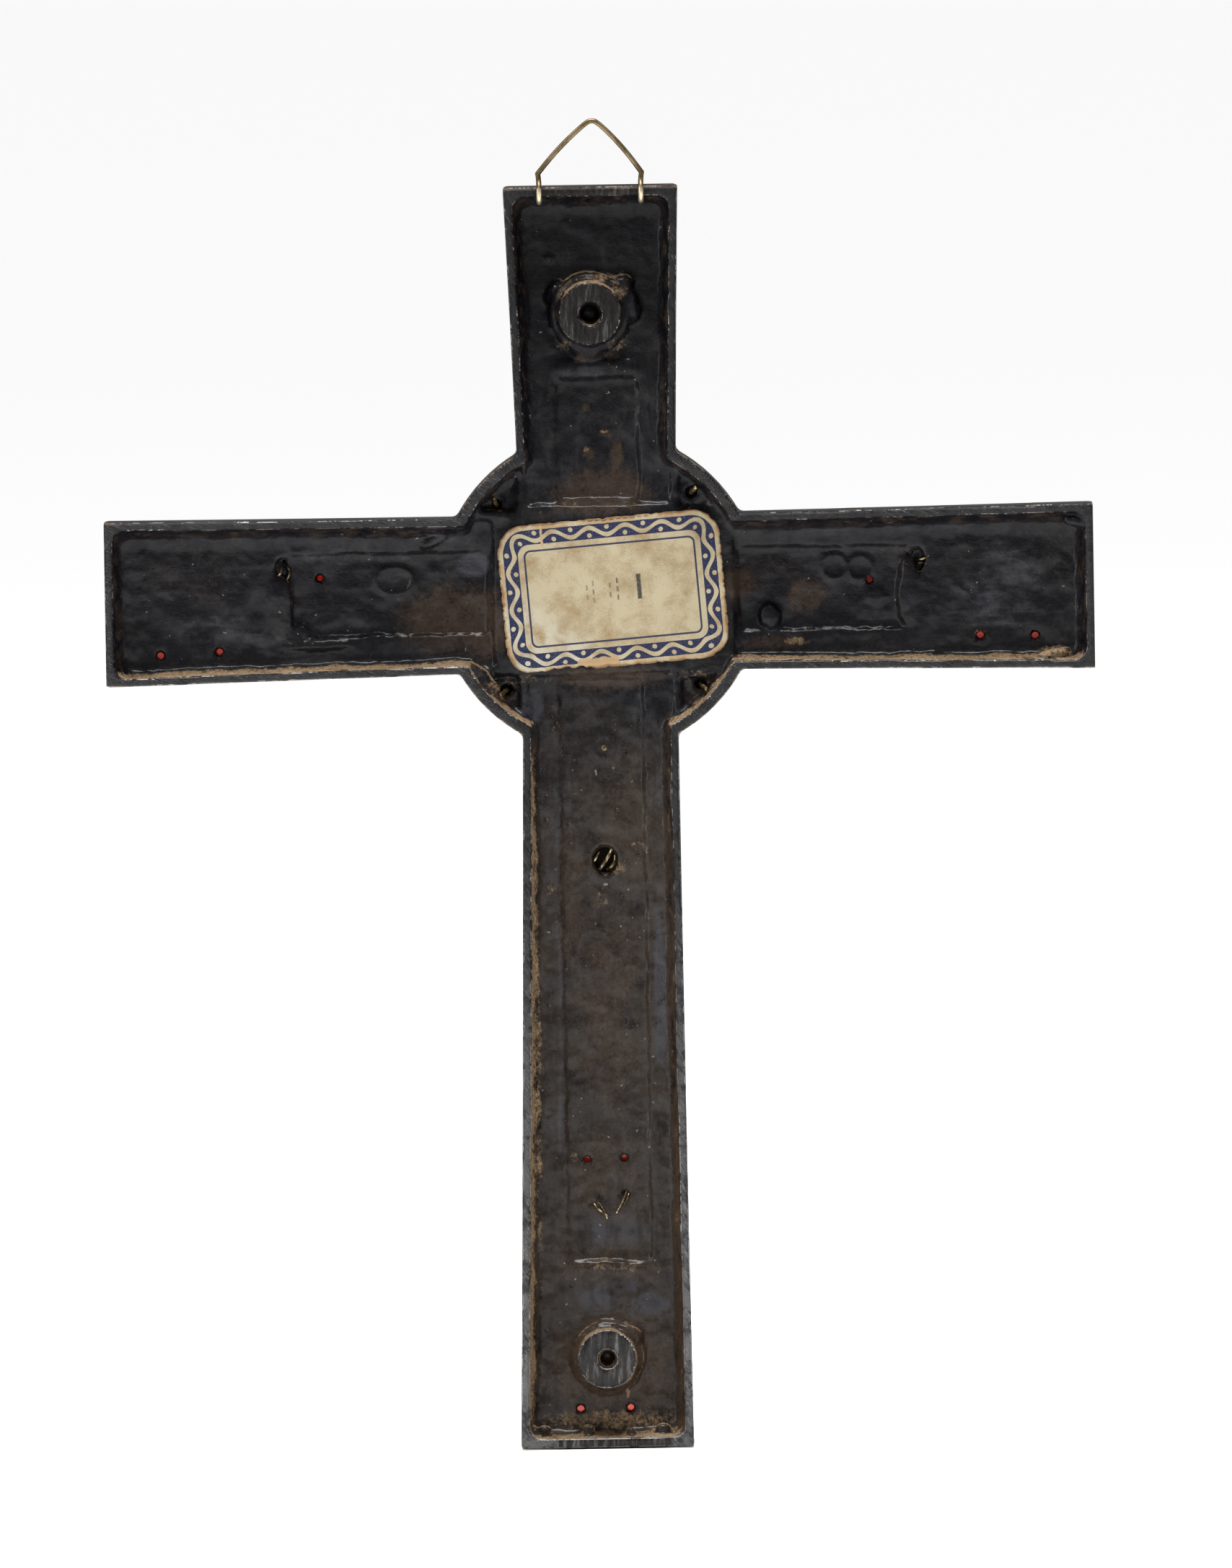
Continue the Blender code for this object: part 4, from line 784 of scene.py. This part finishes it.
# The hanging loop is one length of drawn brass wire, gone olive-brown. Its ends are rolled into
# eyes through the top wall, where they are rubbed bright, and it swings on them.
LOOP_WIRE = 1.0
EYE_RADIUS = 2.0
KNEE_RISE = 2.4
CROWN_HALF = 1.6
LEG_BOW = 0.3
WIRE_ROUNDNESS = 3
WIRE_SMOOTHNESS = 6
eye_axis = Vector(frame["joints"][0]["pos_m"])
loop_low, loop_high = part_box("hanger")
FOOT_HALF = (loop_high.x - loop_low.x) / 2 - LOOP_WIRE * MM / 2 - 0.2 * MM


def smooth_wire(name, points, diameter):
    """A round wire along a smooth curve through points, as a mesh with closed ends."""
    curve = bpy.data.curves.new(name, "CURVE")
    curve.dimensions = "3D"
    curve.bevel_depth = diameter / 2
    curve.bevel_resolution = WIRE_ROUNDNESS
    curve.use_fill_caps = True
    curve.resolution_u = WIRE_SMOOTHNESS
    spline = curve.splines.new("NURBS")
    spline.points.add(len(points) - 1)
    for point, where in zip(spline.points, points):
        point.co = (*where, 1.0)
    spline.use_endpoint_u = True
    spline.order_u = 3
    item = bpy.data.objects.new(name, curve)
    bpy.context.scene.collection.objects.link(item)
    pick(item)
    bpy.ops.object.convert(target="MESH")
    item = bpy.context.object
    bpy.ops.object.mode_set(mode="EDIT")
    bpy.ops.mesh.select_all(action="SELECT")
    bpy.ops.mesh.remove_doubles(threshold=0.000002)
    bpy.ops.mesh.normals_make_consistent(inside=False)
    bpy.ops.object.mode_set(mode="OBJECT")
    shade(item, 50)
    item.data.name = name
    return item


def loop_half(side):
    """Centre line of one leg, from the tip of its eye up to the crown."""
    x = eye_axis.x + side * FOOT_HALF
    points = []
    for angle in range(78, -181, -12):
        turn = math.radians(angle)
        points.append((x, eye_axis.y + EYE_RADIUS * MM * math.cos(turn),
                       eye_axis.z + EYE_RADIUS * MM * math.sin(turn)))
    knee_z = high_corner.z + KNEE_RISE * MM
    points.append((x, 0.0, eye_axis.z + 1.3 * MM))
    points.append((x + side * 0.1 * MM, 0.0, knee_z - 0.5 * MM))
    knee = Vector((x + side * 0.2 * MM, 0.0, knee_z))
    points += [knee, knee]
    top = Vector((side * CROWN_HALF * MM, 0.0, (LOOP_WIRE - CROWN_HALF) / 2 * MM))
    for share in (0.15, 0.35, 0.55, 0.75, 0.92):
        bow = LEG_BOW * MM * math.sin(math.pi * share)
        points.append(knee.lerp(top, share) + Vector((side * bow, 0.0, bow * 0.6)))
    points.append(Vector((side * CROWN_HALF * 0.45 * MM, 0.0, LOOP_WIRE / 2 * MM - 0.15 * MM)))
    return points


def olive_wire():
    """Drawn brass gone dull, with rubbed patches down at the eyes."""
    finish = Finish("olive_wire", Metallic=1.0)
    dull = finish.noise(0.004, 3.0, 0.6)
    drawn = finish.noise(0.0004, 3.0, 0.6, 0.0, finish.stretched((1.0, 1.0, 0.25)))
    rubbed = finish.coordinate("Z").between(eye_axis.z + 2.2 * MM, eye_axis.z - 0.5 * MM)
    rubbed = (rubbed + (dull - 0.5) * 0.5).between(0.35, 0.75)
    colour = finish.mix((0.085, 0.060, 0.030), (0.19, 0.145, 0.082), dull.between(0.35, 0.65))
    colour = finish.mix(colour, (0.50, 0.43, 0.30), rubbed * 0.85)
    colour = finish.mix(colour, (0.03, 0.022, 0.015), drawn.between(0.42, 0.3) * 0.6)
    finish.bump(drawn + dull * 0.6, 0.00006)
    finish.feed(Base_Color=colour, Roughness=0.30 + drawn * 0.25)
    return finish.material


loop = smooth_wire("hanging_loop", loop_half(-1) + [(0.0, 0.0, LOOP_WIRE / 2 * MM)] + loop_half(1)[::-1],
                   LOOP_WIRE * MM)
loop.data.materials.append(olive_wire())
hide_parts("hanger")
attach(loop, "hanger")


# The figure is held on by bits of brass wire pushed through the cross and bent over behind it. Each
# hank is a few twisted or folded strands, bright where the wire was cut or rubbed.
FIXINGS = {
    "hand_wire_left": (0.5, ((-61.3, 3.1, 7.6), (-60.9, 3.6, 6.6), (-60.3, 4.7, 6.2), (-60.0, 5.9, 6.6),
                              (-59.8, 6.6, 7.8))),
    "hand_wire_left_2": (0.42, ((-59.6, 2.7, 7.6), (-59.2, 3.2, 6.5), (-58.6, 4.2, 6.2), (-58.7, 5.3, 6.6),
                                (-59.3, 5.9, 7.8))),
    "hand_wire_right": (0.46, ((60.0, 5.2, 7.6), (60.8, 5.0, 6.3), (61.9, 5.4, 6.0), (62.9, 6.0, 6.3),
                              (63.1, 6.6, 7.4))),
    "hand_wire_right_2": (0.4, ((59.9, 4.5, 7.6), (60.6, 4.4, 6.4), (61.4, 4.5, 6.5), (61.9, 4.7, 7.4))),
    "waist_wire": (0.72, ((-0.9, -53.0, 8.4), (-0.8, -52.7, 6.8), (0.1, -51.5, 6.2), (0.9, -50.3, 6.2),
                          (1.5, -49.2, 6.8), (1.6, -48.9, 8.4))),
    "waist_wire_2": (0.66, ((0.7, -53.0, 8.4), (0.9, -52.7, 6.9), (1.7, -52.0, 6.4), (2.1, -51.2, 6.5),
                            (2.0, -50.4, 7.4))),
    "waist_wire_3": (0.5, ((-2.3, -51.6, 8.4), (-1.9, -51.4, 7.0), (-1.3, -50.4, 6.7), (-0.8, -49.6, 7.2),
                           (-0.7, -49.4, 8.4))),
    "foot_wire_left": (0.42, ((-3.2, -115.9, 8.4), (-3.1, -116.2, 6.8), (-2.4, -117.2, 6.3),
                              (-1.0, -118.3, 6.4), (0.0, -118.9, 6.9))),
    "foot_wire_left_2": (0.38, ((-2.8, -115.7, 8.4), (-2.5, -116.2, 6.9), (-1.7, -116.5, 6.5),
                                (-0.8, -117.9, 6.2), (-0.5, -119.3, 6.9))),
    "foot_wire_right": (0.42, ((3.5, -113.9, 8.4), (3.3, -114.0, 6.8), (2.9, -115.3, 6.2),
                               (2.0, -117.0, 6.3), (1.3, -118.2, 6.9))),
    "foot_wire_right_2": (0.36, ((3.9, -114.2, 8.4), (3.7, -114.4, 6.8), (3.4, -115.6, 6.3),
                                 (2.7, -116.6, 6.6))),
    "chest_pin": (1.1, ((0.3, -29.6, 8.4), (0.3, -29.6, 7.4), (0.35, -29.65, 6.7), (0.4, -29.7, 6.2))),
}


def bright_wire():
    """Brass wire, bright and dark in patches at random."""
    finish = Finish("bright_wire", Metallic=1.0)
    dull = finish.noise(0.0012, 3.0, 0.6)
    twist = finish.noise(0.0003, 2.0, 0.5)
    colour = finish.mix((0.045, 0.032, 0.018), (0.36, 0.29, 0.18), dull.between(0.45, 0.68))
    finish.bump(twist, 0.00005)
    finish.feed(Base_Color=colour, Roughness=0.30 + dull * 0.2)
    return finish.material


brass_wire = bright_wire()
for name, (diameter, route) in FIXINGS.items():
    piece = smooth_wire(name + "_strand", [behind(*where) for where in route], diameter * MM)
    piece.data.materials.append(brass_wire)
    if name in frame["nodes"]:
        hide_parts(name)
    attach(piece, "cross")


# Four domed brass studs stand on the disc, each with a pin bent over behind in its pocket.
def worn_brass():
    """Brass mottled brown and bright at random."""
    finish = Finish("worn_brass", Metallic=1.0)
    dull = finish.noise(0.0014, 4.0, 0.6)
    pitted = finish.noise(0.0004, 2.0, 0.6)
    colour = finish.mix((0.11, 0.075, 0.035), (0.40, 0.30, 0.14), dull.between(0.38, 0.62))
    finish.bump(pitted, 0.00006)
    finish.feed(Base_Color=colour, Roughness=0.28 + pitted * 0.2)
    return finish.material


brass = worn_brass()
for number in range(1, 5):
    stud = merged_copy("disc_stud_%d" % number, "domed_stud_%d" % number)
    modify(stud, "SUBSURF", levels=2, render_levels=2)
    shade(stud, 60)
    stud.data.materials.append(brass)
    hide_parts("disc_stud_%d" % number)
    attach(stud, "cross")


# The beads are low domes of red glass set in pairs near the four ends. From behind they show as
# red points at the bottom of small holes.
def red_glass():
    """Clouded red glass with a polished dome."""
    finish = Finish("red_glass", Transmission_Weight=0.4, Specular_IOR_Level=0.25, IOR=1.5)
    cloud = finish.noise(0.0011, 3.0, 0.5)
    colour = finish.mix((0.62, 0.016, 0.006), (0.85, 0.06, 0.02), cloud.between(0.35, 0.65))
    finish.bump(cloud, 0.00004)
    finish.feed(Base_Color=colour, Roughness=0.05 + cloud * 0.08)
    return finish.material


glass = red_glass()
for end in ("top", "foot", "left", "right"):
    for number in (1, 2):
        node = "bead_%s_%d" % (end, number)
        bead = merged_copy(node, node + "_glass")
        modify(bead, "BEVEL", width=0.0002, segments=2, limit_method="ANGLE")
        modify(bead, "SUBSURF", levels=2, render_levels=2)
        shade(bead, 60)
        bead.data.materials.append(glass)
        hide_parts(node)
        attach(bead, "cross")


# The figure is one bronze casting in a long robe, which is filled with red enamel between bronze
# hems. It faces the room, so only a sliver of it and points of its enamel show from behind.
FIGURE_VOXEL = 0.3 * MM
FIGURE_TRIANGLES = 150000
FIGURE_TOP = 17.8
FIGURE_HEIGHT = 138.5
FIGURE_BACK = 10.5
CUFF_START = 51.6
CUFF_END = 55.4
HIP_TUCK = 12.6
FOLD_LEVEL = 0.55

# Masses of the head: across, up, depth under the rim, half sizes across, deep, up, and turn. Each one
# off the middle has a twin on the other side.
HEAD = (
    (0.0, 8.4, 18.4, 5.5, 6.7, 8.2, 0), (0.0, 4.4, 19.8, 4.3, 4.9, 5.2, 0),
    (0.0, 7.7, 25.1, 0.75, 1.1, 2.2, 0), (0.0, 6.2, 25.3, 1.05, 1.15, 0.8, 0),
    (0.8, 6.0, 24.9, 0.6, 0.8, 0.5, 0), (2.8, 6.2, 22.7, 1.6, 1.9, 1.9, 0),
    (0.0, 1.0, 22.4, 3.0, 2.9, 3.4, 0), (2.2, 10.6, 24.0, 1.9, 0.95, 0.5, -10),
)
# Nose, eyes, lips, beard and locks of hair that are added on the smooth head, in the same terms
LOCKS = (
    (0.0, 8.0, 25.0, 0.55, 1.1, 2.3, 0), (0.0, 6.2, 25.5, 0.75, 1.0, 0.75, 0),
    (0.75, 6.0, 25.0, 0.5, 0.7, 0.5, 0), (2.25, 8.9, 23.9, 1.15, 0.95, 0.75, -4),
    (2.25, 8.35, 24.2, 1.2, 0.75, 0.22, -6), (0.0, 4.25, 24.6, 1.25, 0.75, 0.28, 0),
    (0.0, 3.7, 24.5, 1.1, 0.8, 0.32, 0), (1.45, 4.95, 24.5, 1.5, 0.7, 0.5, 26),
    (0.0, 1.2, 24.6, 0.6, 1.1, 2.3, 0), (1.2, 1.4, 24.3, 0.6, 1.1, 2.4, 12),
    (2.3, 2.1, 23.5, 0.6, 1.1, 2.6, 20), (3.3, 3.4, 22.3, 0.65, 1.2, 2.8, 16),
    (1.3, 15.0, 22.6, 2.8, 1.6, 0.7, 24), (3.1, 13.5, 21.9, 2.6, 1.7, 0.75, 50),
    (4.9, 10.6, 20.8, 0.85, 1.9, 3.6, 10), (5.5, 5.4, 20.3, 0.85, 1.9, 3.6, -6),
    (6.3, 0.4, 19.4, 0.8, 1.8, 3.4, 12), (5.2, 0.0, 19.9, 0.75, 1.7, 3.6, 4),
)
# The knot of the belt and its two hanging ends
BELT_ENDS = (
    (0.9, -46.8, 22.6, 0.75, 0.8, 7.6, -3), (-1.1, -48.6, 22.6, 0.75, 0.8, 9.2, 5),
    (0.0, -40.6, 22.2, 1.7, 1.1, 1.4, 0),
)


def with_twins(masses):
    return masses + tuple((-mass[0], *mass[1:-1], -mass[-1]) for mass in masses if mass[0])


def smooth_step(values, low, high):
    share = np.clip((values - low) / (high - low), 0.0, 1.0)
    return share * share * (3.0 - 2.0 * share)


figure = merged_copy("corpus", "robed_figure")
head = [lump(*sizes) for sizes in with_twins(HEAD)]
pick(figure, *head)
bpy.ops.object.join()
modify(figure, "REMESH", mode="VOXEL", voxel_size=FIGURE_VOXEL)
modify(figure, "SMOOTH", factor=0.5, iterations=9)

# Cloth is laid in pleats down the skirt, in hanging curves on the chest and across the sleeves
figure_points, figure_normals = rows(figure.data.vertices, "co"), rows(figure.data.vertex_normals, "vector")
across = (DISC.x - figure_points[:, 0]) / MM
aside = np.abs(across)
above = (figure_points[:, 2] - DISC.z) / MM
below = (FIGURE_TOP - above) / FIGURE_HEIGHT
outward = np.clip(1.0 - figure_normals[:, 1] * 1.4, 0.0, 1.0)
on_body = smooth_step(aside, 15.5, 13.0)
skirt = on_body * smooth_step(below, 0.425, 0.47) * smooth_step(below, 0.905, 0.88)
chest = on_body * smooth_step(below, 0.19, 0.22) * smooth_step(below, 0.405, 0.385)
chest = chest * smooth_step(aside, 10.5, 7.0)
sleeve = smooth_step(aside, 9.0, 13.0) * smooth_step(aside, CUFF_START, CUFF_START - 1.0)
sleeve = sleeve * smooth_step(below, 0.40, 0.36)
pleat_width = 2.7 + 1.7 * (below - 0.43)
pleats = np.abs(np.sin(math.pi * across / pleat_width + 0.8 * np.sin(9.0 * below + 0.25 * across)))
curves = np.abs(np.sin(math.pi * (below * FIGURE_HEIGHT + 0.055 * across ** 2) / 4.1))
creases = math.pi * (aside * 0.85 + (above + 8.0) * 0.55) / 4.6 + 0.7 * np.sin(0.31 * across)
creases = np.abs(np.sin(creases))
folds = 1.05 * (pleats - FOLD_LEVEL) * skirt + 0.75 * (curves - FOLD_LEVEL) * chest
folds = folds + 0.75 * (creases - FOLD_LEVEL) * sleeve
belt = on_body * smooth_step(np.abs(below - 0.42), 0.0125, 0.0095)
hem = on_body * smooth_step(np.abs(below - 0.899), 0.011, 0.009)
collar = smooth_step(np.hypot(across, (above + 3.5) * 1.1), 8.6, 7.8)
collar = collar * smooth_step(above, -1.0, -2.2) * on_body
cuff = smooth_step(np.abs(aside - (CUFF_START + CUFF_END) / 2), 2.0, 1.7)
cuff = cuff * smooth_step(below, 0.40, 0.36)
plaited = np.sin(math.tau * (across + above) / 1.7)
on_the_hip = smooth_step(below, 0.46, 0.5) * smooth_step(below, 0.8, 0.76)
hair = smooth_step(np.hypot(across / 5.2, (above - 7.4) / 7.6), 0.92, 1.0)
hair = hair * smooth_step(above, -4.5, -3.0) * smooth_step(aside, 9.0, 8.0)
strands = np.sin(math.tau * (across * 0.8 + 1.1 * np.sin(above * 0.7)) / 1.5)
sockets = sum(np.exp(-((across - side) / 1.3) ** 2 - (above - 8.8) ** 2) for side in (-2.3, 2.3))
sockets = sockets * (figure_points[:, 1] < RIM_Y - 21.0 * MM)
relief = folds + belt * (0.4 + 0.16 * plaited) + hem * 0.25 + collar * 0.3 + cuff * 0.25
relief = relief + hair * 0.2 * strands - sockets * 0.75
fingers = smooth_step(aside, 67.5, 69.5) * (np.abs(np.sin(math.pi * (above - 4.9) / 1.75)) - 0.75)
relief = relief + 0.9 * fingers
figure_points += figure_normals * (relief * outward * MM)[:, None]
tucked = on_the_hip * np.maximum(across - HIP_TUCK, 0.0) * 0.55
figure_points[:, 0] += tucked * MM
front_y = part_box("corpus")[0].y + 0.03 * MM
figure_points[:, 1] = np.clip(figure_points[:, 1], front_y, RIM_Y - FIGURE_BACK * MM)
figure.data.vertices.foreach_set("co", figure_points.ravel())
cloth = np.maximum(smooth_step(below, 0.165, 0.18) * smooth_step(below, 0.935, 0.925),
                   smooth_step(aside, 8.6, 9.6)) * (aside < CUFF_END)
trimmed = np.maximum(np.maximum(belt, hem), np.maximum(collar, cuff))
behind_it = (figure_normals[:, 1] > 0.7) & (below < 0.92) & ((aside > 40.0) | (below > 0.8))
enamel = np.where(behind_it, cloth, cloth * (below < 0.91) * (1.0 - trimmed) * (figure_normals[:, 1] < 0.7))
paint(figure.data, "enamel", enamel)
paint(figure.data, "valley", np.clip(-folds * 1.6, 0.0, 1.0))
paint(figure.data, "hair", hair)
# Where the enamel shows from behind through the holes, it gets a painted glow
paint(figure.data, "through", behind_it)
# Painted shade: the flat back, hidden against the cross, is marked to be painted near black
shaded_flat_back = (figure_normals[:, 1] > 0.6) & (figure_points[:, 1] > RIM_Y - (FIGURE_BACK + 0.6) * MM)
paint(figure.data, "painted_shade_back", shaded_flat_back)
modify(figure, "DECIMATE", ratio=min(1.0, FIGURE_TRIANGLES / (2 * len(figure.data.polygons))))
locks = [lump(*sizes, rings=7) for sizes in with_twins(LOCKS) + BELT_ENDS]
pick(figure, *locks)
bpy.ops.object.join()
pick(figure)
bpy.ops.object.shade_smooth()


def enamelled_bronze():
    """Red glass enamel over the robe, rubbed golden bronze on hems and skin, dark in the hollows, with
    painted shade on the flat back and a painted red glow where enamel shows from behind.
    """
    finish = Finish("enamelled_bronze", Specular_IOR_Level=0.12, Coat_Roughness=0.08, Emission_Strength=0.10)
    cloud = finish.noise(0.005, 4.0, 0.6)
    fine = finish.noise(0.0006, 3.0, 0.65)
    enamel = (finish.painted("enamel") + (fine - 0.5) * 0.15).between(0.42, 0.58)
    valley = finish.painted("valley")
    rubbed = (cloud + (fine - 0.5) * 0.4).between(0.35, 0.65)
    bronze = finish.mix((0.10, 0.066, 0.032), (0.30, 0.20, 0.095), rubbed)
    bronze = finish.mix(bronze, (0.055, 0.036, 0.02), finish.painted("hair") * 0.6)
    bronze = finish.mix(bronze, (0.03, 0.02, 0.012), valley * 0.7)
    # Painted shade: the flat back against the cross is near black
    bronze = finish.mix(bronze, (0.006, 0.005, 0.004), finish.painted("painted_shade_back"))
    red = finish.mix((0.17, 0.0045, 0.003), (0.25, 0.008, 0.005), cloud.between(0.3, 0.7))
    red = finish.mix(red, (0.05, 0.002, 0.002), valley * 0.75)
    # Painted glow: the enamel seen from behind glows faintly red, in place of light coming through it from
    # the front
    painted_glow = finish.mix((0.0, 0.0, 0.0), (1.0, 0.045, 0.012), enamel * finish.painted("through"))
    finish.bump(cloud * 0.5 + fine * 0.25 * (1 - enamel), 0.00012)
    finish.feed(Base_Color=finish.mix(bronze, red, enamel), Roughness=0.36 + fine * 0.14 - enamel * 0.22,
                Metallic=1 - enamel, Coat_Weight=enamel * 0.3, Emission_Color=painted_glow)
    return finish.material


figure.data.materials.append(enamelled_bronze())
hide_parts("corpus")
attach(figure, "cross")
